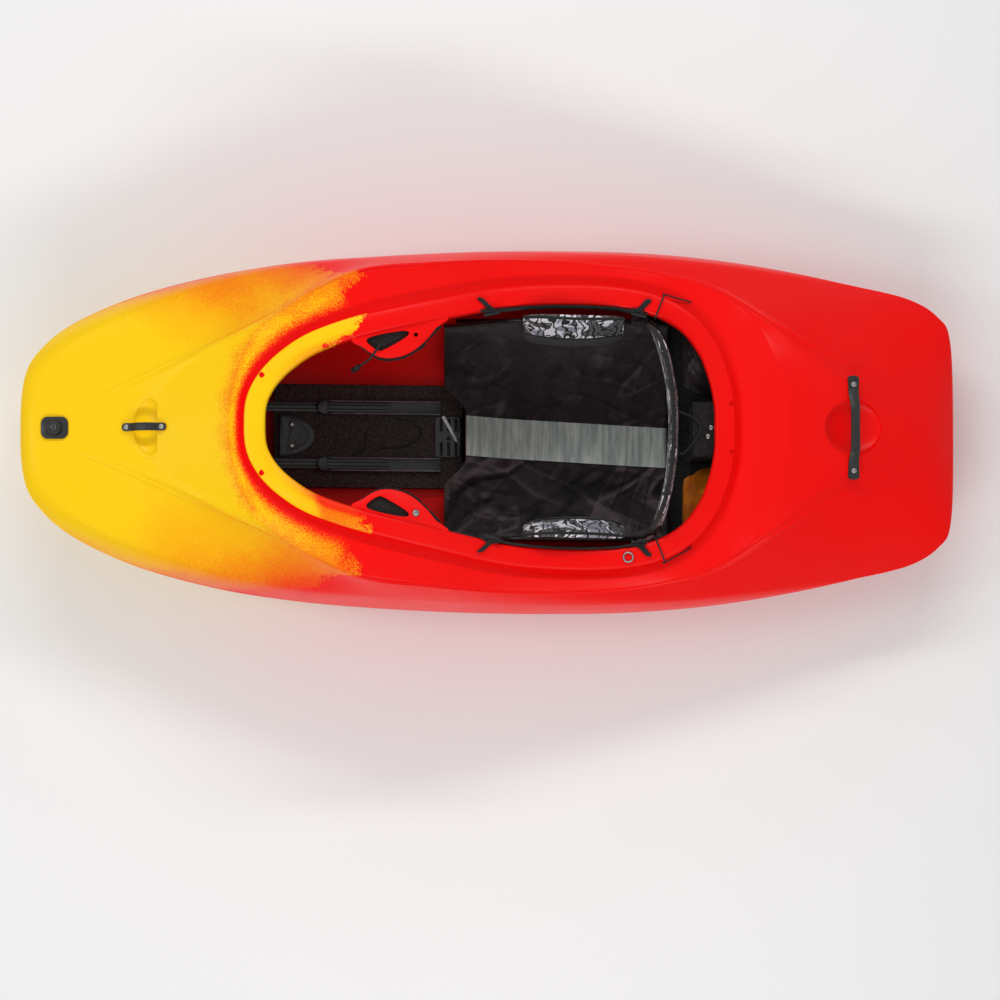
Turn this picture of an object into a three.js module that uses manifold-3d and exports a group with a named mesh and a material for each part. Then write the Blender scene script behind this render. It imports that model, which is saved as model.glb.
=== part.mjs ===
// Whitewater playboat kayak, built as it comes apart on a bench.
// Millimetres. The bow points along -X, starboard is +Y, up is +Z.
// The origin lies under the middle of the hull, on the floor.
import * as THREE from "three";
import { mergeVertices } from "three/addons/utils/BufferGeometryUtils.js";
import Module from "manifold-3d";

const wasm = await Module();
wasm.setup();

// Driving sizes of the boat
const LENGTH = 1780;
const BEAM = 695;
const HEIGHT = 412;
const WALL = 5.5;
const CLEARANCE = 0.3;
const OVERRUN = 30;

// Lines plan of the moulded shell. Each row is one guide line that runs round half the boat, from
// the middle of the bow to the middle of the stern, through the same eighteen ribs. A point is a
// share of the length from the bow, a share of the half beam and a share of the height.
const KEEL_SHARES = [
  [0.043, 0, 0.422], [0.056, 0, 0.386], [0.078, 0, 0.333], [0.114, 0, 0.26], [0.163, 0, 0.18],
  [0.233, 0, 0.102], [0.308, 0, 0.042], [0.383, 0, 0.019], [0.469, 0, 0], [0.555, 0, 0],
  [0.642, 0, 0.005], [0.728, 0, 0.028], [0.814, 0, 0.075], [0.884, 0, 0.138],
  [0.927, 0, 0.182], [0.948, 0, 0.209], [0.967, 0, 0.235], [0.977, 0, 0.25],
];
const FLAT_SHARES = [
  [0.03, 0, 0.461], [0.039, 0.154, 0.437], [0.06, 0.264, 0.388], [0.097, 0.364, 0.316],
  [0.151, 0.485, 0.211], [0.224, 0.617, 0.114], [0.302, 0.656, 0.049], [0.383, 0.669, 0.019],
  [0.469, 0.667, 0], [0.555, 0.669, 0], [0.642, 0.689, 0.006], [0.728, 0.672, 0.032],
  [0.814, 0.647, 0.08], [0.889, 0.628, 0.143], [0.935, 0.606, 0.194], [0.964, 0.523, 0.235],
  [0.98, 0.397, 0.26], [0.986, 0, 0.269],
];
const BILGE_SHARES = [
  [0.015, 0, 0.512], [0.024, 0.209, 0.495], [0.045, 0.342, 0.447], [0.08, 0.468, 0.364],
  [0.138, 0.59, 0.257], [0.217, 0.722, 0.15], [0.299, 0.755, 0.085], [0.383, 0.777, 0.049],
  [0.469, 0.78, 0.041], [0.555, 0.78, 0.039], [0.642, 0.782, 0.041], [0.728, 0.777, 0.061],
  [0.814, 0.755, 0.107], [0.889, 0.727, 0.167], [0.943, 0.689, 0.226], [0.974, 0.584, 0.26],
  [0.988, 0.441, 0.284], [0.992, 0, 0.294],
];
const CHINE_SHARES = [
  [0.006, 0, 0.553], [0.013, 0.248, 0.534], [0.03, 0.413, 0.493], [0.066, 0.562, 0.415],
  [0.128, 0.711, 0.328], [0.213, 0.832, 0.255], [0.298, 0.898, 0.211], [0.383, 0.926, 0.172],
  [0.469, 0.939, 0.155], [0.555, 0.942, 0.15], [0.642, 0.937, 0.153], [0.728, 0.915, 0.16],
  [0.814, 0.86, 0.187], [0.889, 0.782, 0.228], [0.946, 0.708, 0.269], [0.978, 0.612, 0.296],
  [0.994, 0.468, 0.313], [0.997, 0, 0.318],
];
const SEAM_SHARES = [
  [0, 0, 0.609], [0.005, 0.287, 0.602], [0.024, 0.452, 0.57], [0.06, 0.598, 0.515],
  [0.125, 0.747, 0.451], [0.211, 0.865, 0.417], [0.297, 0.933, 0.396], [0.383, 0.97, 0.385],
  [0.469, 0.992, 0.379], [0.555, 1, 0.375], [0.642, 0.994, 0.373], [0.728, 0.961, 0.37],
  [0.814, 0.895, 0.368], [0.889, 0.813, 0.367], [0.948, 0.733, 0.369], [0.982, 0.628, 0.374],
  [0.997, 0.482, 0.376], [1, 0, 0.376],
];
const EDGE_SHARES = [
  [0.012, 0, 0.655], [0.018, 0.242, 0.65], [0.037, 0.391, 0.641], [0.074, 0.529, 0.629],
  [0.136, 0.678, 0.633], [0.217, 0.81, 0.675], [0.299, 0.887, 0.728], [0.383, 0.928, 0.704],
  [0.469, 0.956, 0.663], [0.555, 0.967, 0.614], [0.642, 0.959, 0.568], [0.728, 0.928, 0.505],
  [0.814, 0.868, 0.444], [0.889, 0.793, 0.398], [0.946, 0.722, 0.393], [0.98, 0.62, 0.4],
  [0.995, 0.474, 0.405], [0.998, 0, 0.405],
];
const CREASE_SHARES = [
  [0.052, 0, 0.67], [0.058, 0.088, 0.67], [0.073, 0.154, 0.67], [0.109, 0.231, 0.682],
  [0.159, 0.347, 0.721], [0.224, 0.496, 0.806], [0.286, 0.639, 0.925], [0.358, 0.826, 0.954],
  [0.437, 0.879, 0.876], [0.523, 0.906, 0.755], [0.609, 0.898, 0.667], [0.679, 0.857, 0.624],
  [0.744, 0.771, 0.614], [0.798, 0.606, 0.672], [0.851, 0.446, 0.655], [0.911, 0.303, 0.597],
  [0.958, 0.171, 0.527], [0.971, 0, 0.512],
];
const PANEL_SHARES = [
  [0.136, 0, 0.709], [0.138, 0.116, 0.706], [0.149, 0.209, 0.721], [0.174, 0.314, 0.757],
  [0.209, 0.435, 0.816], [0.254, 0.556, 0.879], [0.301, 0.68, 0.947], [0.36, 0.818, 0.959],
  [0.437, 0.869, 0.881], [0.523, 0.897, 0.76], [0.609, 0.889, 0.672], [0.679, 0.847, 0.629],
  [0.742, 0.755, 0.621], [0.79, 0.59, 0.682], [0.83, 0.43, 0.697], [0.868, 0.281, 0.687],
  [0.891, 0.154, 0.667], [0.898, 0, 0.663],
];
const TROUGH_SHARES = [
  [0.224, 0, 0.883], [0.226, 0.154, 0.883], [0.233, 0.287, 0.888], [0.243, 0.408, 0.898],
  [0.259, 0.518, 0.915], [0.283, 0.617, 0.939], [0.316, 0.722, 0.961], [0.362, 0.81, 0.956],
  [0.437, 0.86, 0.879], [0.523, 0.887, 0.757], [0.609, 0.879, 0.67], [0.679, 0.837, 0.626],
  [0.741, 0.738, 0.621], [0.784, 0.573, 0.677], [0.802, 0.408, 0.718], [0.811, 0.253, 0.738],
  [0.814, 0.132, 0.743], [0.815, 0, 0.743],
];
const RIM_SHARES = [
  [0.264, 0, 0.91], [0.265, 0.094, 0.91], [0.27, 0.165, 0.915], [0.28, 0.237, 0.925],
  [0.295, 0.306, 0.944], [0.316, 0.375, 0.968], [0.346, 0.435, 0.99], [0.385, 0.493, 0.983],
  [0.448, 0.567, 0.917], [0.525, 0.647, 0.789], [0.604, 0.667, 0.704], [0.663, 0.636, 0.666],
  [0.702, 0.545, 0.661], [0.724, 0.408, 0.665], [0.734, 0.281, 0.67], [0.739, 0.176, 0.672],
  [0.741, 0.088, 0.675], [0.741, 0, 0.675],
];
const LINES = [
  KEEL_SHARES, FLAT_SHARES, BILGE_SHARES, CHINE_SHARES, SEAM_SHARES,
  EDGE_SHARES, CREASE_SHARES, PANEL_SHARES, TROUGH_SHARES,
];
const TROUGH_LEVEL = LINES.indexOf(TROUGH_SHARES);
const LAST_RIB = SEAM_SHARES.length - 1;

// Cockpit rim, whose top follows the rim line
const RIM_WIDTH = 40;
const RIM_RISE = 24;
const RIM_FLANGE = 34;
const LIP_OVERHANG = 13;
const LIP_DEPTH = 9;
const RIM_ROUNDING = 4;
const TROUGH_GAP = 14;

// How the shell is divided: steps round it, and how far a section is eased from straight to curved
const STEPS_ROUND = 76;
const EASE = 0.6;
const OUTER_LEVELS = [
  0, 0.5, 1, 1.5, 2, 2.5, 3, 3.5, 4, 4.35, 4.7, 5, 5.35, 5.7, 6, 6.33, 6.67, 7, 7.33, 7.67, 8,
];
const INNER_LEVELS = [8, 7, 6, 5.5, 5, 4.5, 4, 3, 2, 1, 0];

// A guide line's point at a rib number that may lie between two ribs, in millimetres.
// Past either end the line goes on down the other side of the boat.
function guidePoint(line, rib) {
  const side = rib < 0 || rib > LAST_RIB ? -1 : 1;
  const along = rib < 0 ? -rib : rib > LAST_RIB ? 2 * LAST_RIB - rib : rib;
  const first = Math.min(Math.floor(along), LAST_RIB - 1);
  const near = [-1, 0, 1, 2].map((k) => {
    const at = first + k;
    const turned = at < 0 || at > LAST_RIB;
    const [x, y, z] = line[at < 0 ? -at : at > LAST_RIB ? 2 * LAST_RIB - at : at];
    return [x, turned ? -y : y, z];
  });
  const u = along - first;
  const [x, y, z] = [0, 1, 2].map((axis) => catmullRom(near.map((p) => p[axis]), u));
  return new THREE.Vector3((x - 0.5) * LENGTH, (side * y * BEAM) / 2, Math.max(z, 0) * HEIGHT);
}

function catmullRom([a, b, c, d], u) {
  const slopeB = (c - a) / 2;
  const slopeC = (d - b) / 2;
  const cubic = 2 * (b - c) + slopeB + slopeC;
  const square = 3 * (c - b) - 2 * slopeB - slopeC;
  return ((cubic * u + square) * u + slopeB) * u + b;
}

// The shell's outer skin below the cockpit rim, at a rib number and a level between guide lines
function skinPoint(rib, level) {
  if (level < 0) {
    const mirrored = skinPoint(rib, -level);
    mirrored.y *= -1;
    return mirrored;
  }
  const last = LINES.length - 1;
  const low = Math.min(Math.floor(level), last - 1);
  const u = level - low;
  const points = [-1, 0, 1, 2].map((k) => guidePoint(LINES[THREE.MathUtils.clamp(low + k, 0, last)], rib));
  if (low === 0) {
    points[0].copy(points[2]);
    points[0].y *= -1;
  }
  const straight = points[1].clone().lerp(points[2], u);
  const curved = new THREE.Vector3(
    catmullRom(points.map((p) => p.x), u),
    catmullRom(points.map((p) => p.y), u),
    Math.max(catmullRom(points.map((p) => p.z), u), 0),
  );
  return straight.lerp(curved, EASE);
}

function skinNormal(rib, level) {
  const step = 0.02;
  const round = skinPoint(rib + step, level).sub(skinPoint(rib - step, level));
  const across = skinPoint(rib, Math.min(level + step, TROUGH_LEVEL)).sub(skinPoint(rib, level - step));
  return across.cross(round).normalize();
}

// A point of the cockpit rim: so far out from its inner edge in plan, and so far below its crest
function rimPoint(rib, out, drop) {
  const step = 0.02;
  const edge = guidePoint(RIM_SHARES, rib);
  const run = guidePoint(RIM_SHARES, rib + step).sub(guidePoint(RIM_SHARES, rib - step));
  const outward = new THREE.Vector3(-run.y, run.x, 0).normalize();
  return edge.addScaledVector(outward, out).setZ(edge.z - drop);
}

// The skin of the moulded shell as rings round the boat, from the keel up the outside, over the
// rim and down the inside to the keel again
function shellRings() {
  const wallOut = RIM_WIDTH - LIP_OVERHANG;
  const rim = [
    [RIM_WIDTH + TROUGH_GAP, RIM_RISE],
    [wallOut, RIM_RISE],
    [wallOut, LIP_DEPTH],
    [RIM_WIDTH, LIP_DEPTH],
    [RIM_WIDTH, RIM_ROUNDING],
    [RIM_WIDTH / 2, 0],
    [0, RIM_ROUNDING],
    [0, RIM_FLANGE],
    [WALL, RIM_FLANGE],
    [WALL, RIM_ROUNDING + WALL],
    [wallOut - WALL, RIM_ROUNDING + WALL],
    [wallOut - WALL, RIM_RISE + WALL],
    [RIM_WIDTH + TROUGH_GAP, RIM_RISE + WALL],
  ];
  return [
    ...OUTER_LEVELS.map((level) => ring((rib) => skinPoint(rib, level))),
    ...rim.map(([out, drop]) => ring((rib) => rimPoint(rib, out, drop))),
    ...INNER_LEVELS.map((level) => ring((rib) => insidePoint(rib, level))),
  ];
}

function insidePoint(rib, level) {
  return skinPoint(rib, level).addScaledVector(skinNormal(rib, level), -WALL);
}

// One ring: down the starboard side from bow to stern, and back up the port side as its mirror
function ring(pointAt) {
  const half = Math.round(STEPS_ROUND / 2);
  const starboard = Array.from({ length: half + 1 }, (_, i) => pointAt((i / half) * LAST_RIB));
  starboard[0].y = 0;
  starboard[half].y = 0;
  const port = starboard.slice(1, half).reverse().map((p) => new THREE.Vector3(p.x, -p.y, p.z));
  return [...starboard, ...port];
}

function ringsGeometry(rings) {
  const count = rings[0].length;
  const positions = rings.flat().flatMap((p) => [p.x, p.y, p.z]);
  const index = [];
  for (let level = 0; level < rings.length - 1; level++) {
    for (let i = 0; i < count; i++) {
      const next = (i + 1) % count;
      const a = level * count + i;
      const b = level * count + next;
      const c = (level + 1) * count + next;
      const d = (level + 1) * count + i;
      index.push(a, c, b, a, d, c);
    }
  }
  const geometry = new THREE.BufferGeometry();
  geometry.setAttribute("position", new THREE.Float32BufferAttribute(positions, 3));
  geometry.setIndex(index);
  return geometry;
}

function toSolid(geometry) {
  const bare = geometry.clone();
  bare.deleteAttribute("normal");
  bare.deleteAttribute("uv");
  const merged = mergeVertices(bare, 1e-4);
  const index = [];
  const old = merged.index.array;
  for (let i = 0; i < old.length; i += 3) {
    const [a, b, c] = [old[i], old[i + 1], old[i + 2]];
    if (a !== b && b !== c && c !== a) index.push(a, b, c);
  }
  return new wasm.Manifold(new wasm.Mesh({
    numProp: 3,
    vertProperties: merged.attributes.position.array,
    triVerts: new Uint32Array(index),
  }));
}

function toGeometry(solid) {
  const mesh = solid.getMesh();
  const geometry = new THREE.BufferGeometry();
  geometry.setAttribute("position", new THREE.BufferAttribute(mesh.vertProperties, 3));
  geometry.setIndex(new THREE.BufferAttribute(mesh.triVerts, 1));
  return geometry;
}

// Small tools of the bench
// Faces between two grids of points that share their layout, such as a cushion's underside and top
function between(lower, upper) {
  const rows = lower.length;
  const columns = lower[0].length;
  const positions = [...lower.flat(), ...upper.flat()].flatMap((p) => [p.x, p.y, p.z]);
  const index = [];
  const quad = (a, b, c, d) => index.push(a, b, c, a, c, d);
  const low = (i, j) => i * columns + j;
  const high = (i, j) => (rows + i) * columns + j;
  for (let i = 0; i < rows - 1; i++) {
    for (let j = 0; j < columns - 1; j++) {
      quad(high(i, j), high(i + 1, j), high(i + 1, j + 1), high(i, j + 1));
      quad(low(i, j), low(i, j + 1), low(i + 1, j + 1), low(i + 1, j));
    }
    quad(low(i, 0), low(i + 1, 0), high(i + 1, 0), high(i, 0));
    quad(low(i + 1, columns - 1), low(i, columns - 1), high(i, columns - 1), high(i + 1, columns - 1));
  }
  for (let j = 0; j < columns - 1; j++) {
    quad(low(0, j + 1), low(0, j), high(0, j), high(0, j + 1));
    quad(low(rows - 1, j), low(rows - 1, j + 1), high(rows - 1, j + 1), high(rows - 1, j));
  }
  return indexed(positions, index);
}

function indexed(positions, index) {
  const geometry = new THREE.BufferGeometry();
  geometry.setAttribute("position", new THREE.Float32BufferAttribute(positions, 3));
  geometry.setIndex(index);
  return toGeometry(toSolid(outward(geometry)));
}

// Turns the faces of a closed surface round if they point inwards
function outward(geometry) {
  const at = geometry.attributes.position;
  const index = Array.from(geometry.index.array);
  const corner = (k) => new THREE.Vector3().fromBufferAttribute(at, index[k]);
  let volume = 0;
  for (let i = 0; i < index.length; i += 3) {
    volume += corner(i).dot(corner(i + 1).cross(corner(i + 2)));
  }
  if (volume < 0) index.reverse();
  geometry.setIndex(index);
  return geometry;
}

// A closed body through rings of points, each end drawn in to its middle
function loft(rings) {
  const middle = (points) => points
    .reduce((sum, p) => sum.add(p), new THREE.Vector3())
    .divideScalar(points.length);
  const closed = (points) => points.map(() => middle(points));
  return toGeometry(toSolid(outward(ringsGeometry([closed(rings[0]), ...rings, closed(rings.at(-1))]))));
}

function steps(from, to, count) {
  return Array.from({ length: count + 1 }, (_, i) => from + ((to - from) * i) / count);
}

function tube(points, radius, sides, stepLength) {
  const curve = new THREE.CatmullRomCurve3(points);
  const section = new THREE.Shape(steps(0, 2 * Math.PI, sides).slice(0, -1)
    .map((angle) => new THREE.Vector2(radius * Math.cos(angle), radius * Math.sin(angle))));
  return new THREE.ExtrudeGeometry(section, {
    steps: Math.ceil(curve.getLength() / stepLength),
    extrudePath: curve,
  });
}

function disc(radius, height, sides = 24) {
  return new THREE.CylinderGeometry(radius, radius, height, sides)
    .rotateX(Math.PI / 2)
    .translate(0, 0, height / 2);
}

function turned(profile, sides = 24) {
  return new THREE.LatheGeometry(profile.map(([r, z]) => new THREE.Vector2(r, z)), sides).rotateX(Math.PI / 2);
}

function prism(shape, height) {
  return new THREE.ExtrudeGeometry(shape, { depth: height, bevelEnabled: false, curveSegments: 6 });
}

function outline(points) {
  return new THREE.Shape(points.map(([x, y]) => new THREE.Vector2(x, y)));
}

function roundedRectangle(length, width, radius) {
  const [x, y] = [length / 2, width / 2];
  const shape = new THREE.Shape();
  shape.absarc(x - radius, y - radius, radius, 0, Math.PI / 2);
  shape.absarc(radius - x, y - radius, radius, Math.PI / 2, Math.PI);
  shape.absarc(radius - x, radius - y, radius, Math.PI, 1.5 * Math.PI);
  shape.absarc(x - radius, radius - y, radius, 1.5 * Math.PI, 2 * Math.PI);
  return shape;
}

// A turn that brings a piece made upright to face a direction
function facing(direction) {
  const turn = new THREE.Quaternion().setFromUnitVectors(new THREE.Vector3(0, 0, 1), direction);
  return new THREE.Matrix4().makeRotationFromQuaternion(turn);
}

function cut(body, ...tools) {
  return tools.reduce((left, tool) => left.subtract(toSolid(tool)), toSolid(body));
}

const boat = new THREE.Group();
const finish = (color, roughness, metalness = 0) => new THREE.MeshStandardMaterial({ color, roughness, metalness });
const redPlastic = finish(0xee1108, 0.35);
const blackPlastic = finish(0x161616, 0.4);
const blackFoam = finish(0x1c1c1d, 0.95);
const blackFabric = finish(0x17151a, 0.9);
const greyWebbing = finish(0x7d8785, 0.6);
const printedFabric = finish(0x8d9095, 0.75);
const orangeFabric = finish(0xe07a08, 0.6);
const clearFilm = finish(0x3a3430, 0.15);
const steel = finish(0xb9bbbd, 0.25, 1);

function addPiece(name, geometry, material, place = new THREE.Matrix4()) {
  const mesh = new THREE.Mesh(geometry.index ? geometry.toNonIndexed() : geometry, material);
  mesh.name = name;
  mesh.applyMatrix4(place);
  boat.add(mesh);
  return mesh;
}

// The bare shell is measured by dropping lines on it, so that what sits on it finds its height
const bareShell = toSolid(ringsGeometry(shellRings()));
const measured = new THREE.Mesh(toGeometry(bareShell), new THREE.MeshBasicMaterial({ side: THREE.DoubleSide }));
const NUDGE = 0.013;

// The heights at which a plumb line through the bare shell meets its skins, from the top down
function skinsAt(x, y) {
  const from = new THREE.Vector3(x + NUDGE, y + NUDGE, 2 * HEIGHT);
  const hits = new THREE.Raycaster(from, new THREE.Vector3(0, 0, -1)).intersectObject(measured);
  return hits.map((hit) => hit.point.z).filter((z, i, all) => i === 0 || all[i - 1] - z > NUDGE);
}

const deckAt = (x, y) => skinsAt(x, y)[0];
const floorAt = (x, y) => skinsAt(x, y).at(-2);
const ceilingAt = (x, y) => skinsAt(x, y).at(-3) ?? HEIGHT;
const rimAt = (rib, out) => rimPoint(rib, out, 0);

// The rib at which the rim's inner edge stands at a place along the boat, and the rim's crest there
function ribAt(x) {
  let [low, high] = [0, LAST_RIB];
  for (let i = 0; i < 40; i++) {
    const middle = (low + high) / 2;
    if (guidePoint(RIM_SHARES, middle).x < x) low = middle;
    else high = middle;
  }
  return low;
}

const rimCrest = (x) => guidePoint(RIM_SHARES, ribAt(x));

// Stations along the boat that the outfitting is set out from: the back of the cockpit's mouth, the
// back and front of the seat, and the lower end of the foot tracks
const SEAT_TO_RIM = 84;
const SEAT_LENGTH = 431;
const SEAT_INSIDE_RIM = 25.8;
const TRACK_TO_SEAT = 6;
const TRACK_LENGTH = 221;
const cockpitBack = guidePoint(RIM_SHARES, LAST_RIB).x;
const cockpitHalfWidth = Math.max(...steps(0, LAST_RIB, LAST_RIB).map((rib) => guidePoint(RIM_SHARES, rib).y));
const seatBack = cockpitBack - SEAT_TO_RIM;
const seatFront = seatBack - SEAT_LENGTH;
const seatHalfWidth = cockpitHalfWidth - SEAT_INSIDE_RIM;
const trackEnd = seatFront - TRACK_TO_SEAT;
const trackStart = trackEnd - TRACK_LENGTH;

// A frame that stands on the deck between two points: x from one to the other, z out of the deck
function deckFrame([ax, ay], [bx, by]) {
  const reach = 8;
  const a = new THREE.Vector3(ax, ay, deckAt(ax, ay));
  const b = new THREE.Vector3(bx, by, deckAt(bx, by));
  const along = b.clone().sub(a).normalize();
  const middle = a.clone().lerp(b, 0.5);
  const side = new THREE.Vector3(-along.y, along.x, 0).normalize();
  const rise = deckAt(middle.x + side.x * reach, middle.y + side.y * reach)
    - deckAt(middle.x - side.x * reach, middle.y - side.y * reach);
  const across = side.clone().multiplyScalar(2 * reach).setZ(rise).normalize();
  const up = along.clone().cross(across).normalize();
  return new THREE.Matrix4().makeBasis(along, up.clone().cross(along), up).setPosition(middle);
}

// The highest point of the deck under a footprint, in the frame's own upward direction
function seatHeight(frame, footprint) {
  const height = 100;
  const down = new THREE.Vector3().setFromMatrixColumn(frame, 2).negate();
  return Math.max(...footprint.map(([x, y]) => {
    const from = new THREE.Vector3(x, y, height).applyMatrix4(frame);
    const hit = new THREE.Raycaster(from, down).intersectObject(measured)[0];
    return height - hit.distance;
  }));
}

const shellAdditions = [];
const shellCuts = [];

// The room inside the shell, and the scoops that bulge down into it
const CEILING_GAP = 1.5;
const hollows = [];
const insideRings = [
  ring((rib) => rimPoint(rib, RIM_WIDTH + TROUGH_GAP, RIM_RISE + WALL)),
  ...INNER_LEVELS.map((level) => ring((rib) => insidePoint(rib, level))),
];
const topMiddle = insideRings[0].reduce((sum, p) => sum.add(p), new THREE.Vector3())
  .divideScalar(insideRings[0].length);
const insideSpace = toSolid(outward(ringsGeometry([insideRings[0].map(() => topMiddle), ...insideRings])));

// A block trimmed to fit between the floor and the deck
function fitted(geometry) {
  const trimmed = toSolid(geometry)
    .intersect(insideSpace.translate(0, 0, CLEARANCE))
    .intersect(insideSpace.translate(0, 0, -CEILING_GAP));
  return toGeometry(hollows.reduce((left, tool) => left.subtract(toSolid(tool)), trimmed));
}

// Grab handles: a springy strap screwed at both ends to moulded seats, over a scoop for the fingers
const SCREW_HEAD_RADIUS = 5.5;
const SCREW_HEAD_HEIGHT = 3;
const SCREW_SHANK_RADIUS = 2.5;
const SCREW_LENGTH = 16;
const SEAT_RADIUS = 10;
const SEAT_RISE = 0.4;
const STRAP_THICKNESS = 4;

function screw() {
  return turned([
    [0, -SCREW_LENGTH], [SCREW_SHANK_RADIUS, -SCREW_LENGTH], [SCREW_SHANK_RADIUS, 0],
    [SCREW_HEAD_RADIUS, 0], [0.8 * SCREW_HEAD_RADIUS, 0.7 * SCREW_HEAD_HEIGHT], [0, SCREW_HEAD_HEIGHT],
  ], 12);
}

function addHandle(name, { from, to, endInset, width, waist, rise, scoop }) {
  const frame = deckFrame(from, to);
  const span = new THREE.Vector3(...from, 0).distanceTo(new THREE.Vector3(...to, 0));
  const half = span / 2 + endInset;
  const screwAt = [-span / 2, span / 2];
  const seat = SEAT_RISE + seatHeight(frame, screwAt.flatMap((x) => steps(-1, 1, 4).flatMap((u) => [
    [x + u * endInset, width / 2], [x + u * endInset, -width / 2],
    [x + u * SEAT_RADIUS, 0], [x, u * SEAT_RADIUS],
  ])));
  const flat = 2 * endInset;
  const low = seat + CLEARANCE;
  const arch = (x) => low + rise * Math.sin((Math.PI / 2) * Math.min((half - Math.abs(x)) / flat - 1, 1));
  const stations = [-half, ...steps(flat - half, half - flat, 10), half];
  const heightAt = (x) => (half - Math.abs(x) > flat ? arch(x) : low);
  const side = outline([
    ...stations.map((x) => [x, heightAt(x)]),
    ...stations.slice().reverse().map((x) => [x, heightAt(x) + STRAP_THICKNESS]),
  ]);
  const strap = prism(side, width).translate(0, 0, -width / 2).rotateX(Math.PI / 2);
  const at = strap.attributes.position;
  for (let i = 0; i < at.count; i++) {
    const share = at.getX(i) / half;
    at.setY(i, at.getY(i) * (1 - waist * (1 - share * share)));
  }
  const holeRadius = SCREW_SHANK_RADIUS + CLEARANCE;
  const hole = (x) => disc(holeRadius, 2 * OVERRUN, 12).translate(x, 0, -OVERRUN);
  addPiece(`${name}_strap`, toGeometry(cut(strap, ...screwAt.map(hole))), blackPlastic, frame);
  const head = low + STRAP_THICKNESS + CLEARANCE;
  screwAt.forEach((x, i) => {
    addPiece(`${name}_screw_${i + 1}`, screw().translate(x, 0, head), steel, frame);
    shellAdditions.push(disc(SEAT_RADIUS, seat + 0.7 * WALL).translate(x, 0, -0.7 * WALL).applyMatrix4(frame));
    shellCuts.push(hole(x).applyMatrix4(frame));
    hollows.push(disc(SEAT_RADIUS + CEILING_GAP, 2 * OVERRUN, 8).translate(x, 0, -OVERRUN).applyMatrix4(frame));
  });
  addScoop(frame, scoop);
}

// A moulded hollow in the deck: a bowl of the wall's own thickness, opened from above
function addScoop(frame, [length, width, depth]) {
  const bowl = (grow) => new THREE.SphereGeometry(1, 20, 10)
    .scale(length / 2 + grow, width / 2 + grow, depth + grow);
  hollows.push(bowl(WALL + CEILING_GAP).applyMatrix4(frame));
  const keep = new THREE.BoxGeometry(2 * length, 2 * width, 2 * depth + OVERRUN)
    .translate(0, 0, -depth - OVERRUN / 2 - 0.8 * WALL);
  const outer = toSolid(bowl(WALL)).intersect(toSolid(keep));
  shellAdditions.push(toGeometry(outer).applyMatrix4(frame));
  shellCuts.push(bowl(0).applyMatrix4(frame));
}

const BOW_HANDLE_INSET = 204;
const BOW_HANDLE_SPAN = 70;
const BOW_HANDLE = { endInset: 9, width: 15, waist: 0, rise: 12, scoop: [48, 110, 16] };
const STERN_HANDLE_INSET = 199;
const STERN_HANDLE_SPAN = 164;
const STERN_HANDLE = { endInset: 17, width: 23, waist: 0.28, rise: 13, scoop: [106, 138, 18] };

const bowScrewX = BOW_HANDLE_INSET - LENGTH / 2;
addHandle("bow_handle", { from: [bowScrewX, 0], to: [bowScrewX + BOW_HANDLE_SPAN, 0], ...BOW_HANDLE });
const sternHandleX = LENGTH / 2 - STERN_HANDLE_INSET;
addHandle("stern_handle", {
  from: [sternHandleX, -STERN_HANDLE_SPAN / 2],
  to: [sternHandleX, STERN_HANDLE_SPAN / 2],
  ...STERN_HANDLE,
});

// Drain plug near the bow tip: flanged neck held by a ring nut, sealing ring and screw plug
const PLUG_INSET = 67;
const PLUG_HOLE = 13.5;
const NECK_RADIUS = 13;
const NECK_BORE = 10.6;
const NECK_LENGTH = 17;
const FLANGE_LENGTH = 52;
const FLANGE_WIDTH = 42;
const FLANGE_CORNER = 13;
const FLANGE_THICKNESS = 3;
const RING_THICKNESS = 2.4;
const CAP_RADIUS = 13.8;
const CAP_HEIGHT = 7;
const STEM_LENGTH = 13;
const NUT_RADIUS = 19;
const NUT_HEIGHT = 7;

const plugX = PLUG_INSET - LENGTH / 2;
const plugFrame = deckFrame([plugX - NECK_RADIUS, 0], [plugX + NECK_RADIUS, 0]);
const plugSeat = SEAT_RISE + seatHeight(plugFrame, steps(-1, 1, 4).flatMap((u) => steps(-1, 1, 4)
  .map((v) => [0.45 * u * FLANGE_LENGTH, 0.45 * v * FLANGE_WIDTH])));
const flangeShape = () => roundedRectangle(FLANGE_LENGTH, FLANGE_WIDTH, FLANGE_CORNER);
const flangeLow = plugSeat + CLEARANCE;
const ringLow = flangeLow + FLANGE_THICKNESS + CLEARANCE;
const capLow = ringLow + RING_THICKNESS + CLEARANCE;
const neck = toSolid(disc(NECK_RADIUS, NECK_LENGTH + FLANGE_THICKNESS).translate(0, 0, flangeLow - NECK_LENGTH));
const drainNeck = neck
  .add(toSolid(prism(flangeShape(), FLANGE_THICKNESS).translate(0, 0, flangeLow)))
  .subtract(toSolid(disc(NECK_BORE, 3 * OVERRUN).translate(0, 0, -2 * OVERRUN)));
addPiece("drain_neck", toGeometry(drainNeck), blackPlastic, plugFrame);
shellAdditions.push(prism(flangeShape(), plugSeat + 0.7 * WALL).translate(0, 0, -0.7 * WALL).applyMatrix4(plugFrame));
shellCuts.push(disc(PLUG_HOLE, 2 * OVERRUN).translate(0, 0, -OVERRUN).applyMatrix4(plugFrame));

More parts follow.
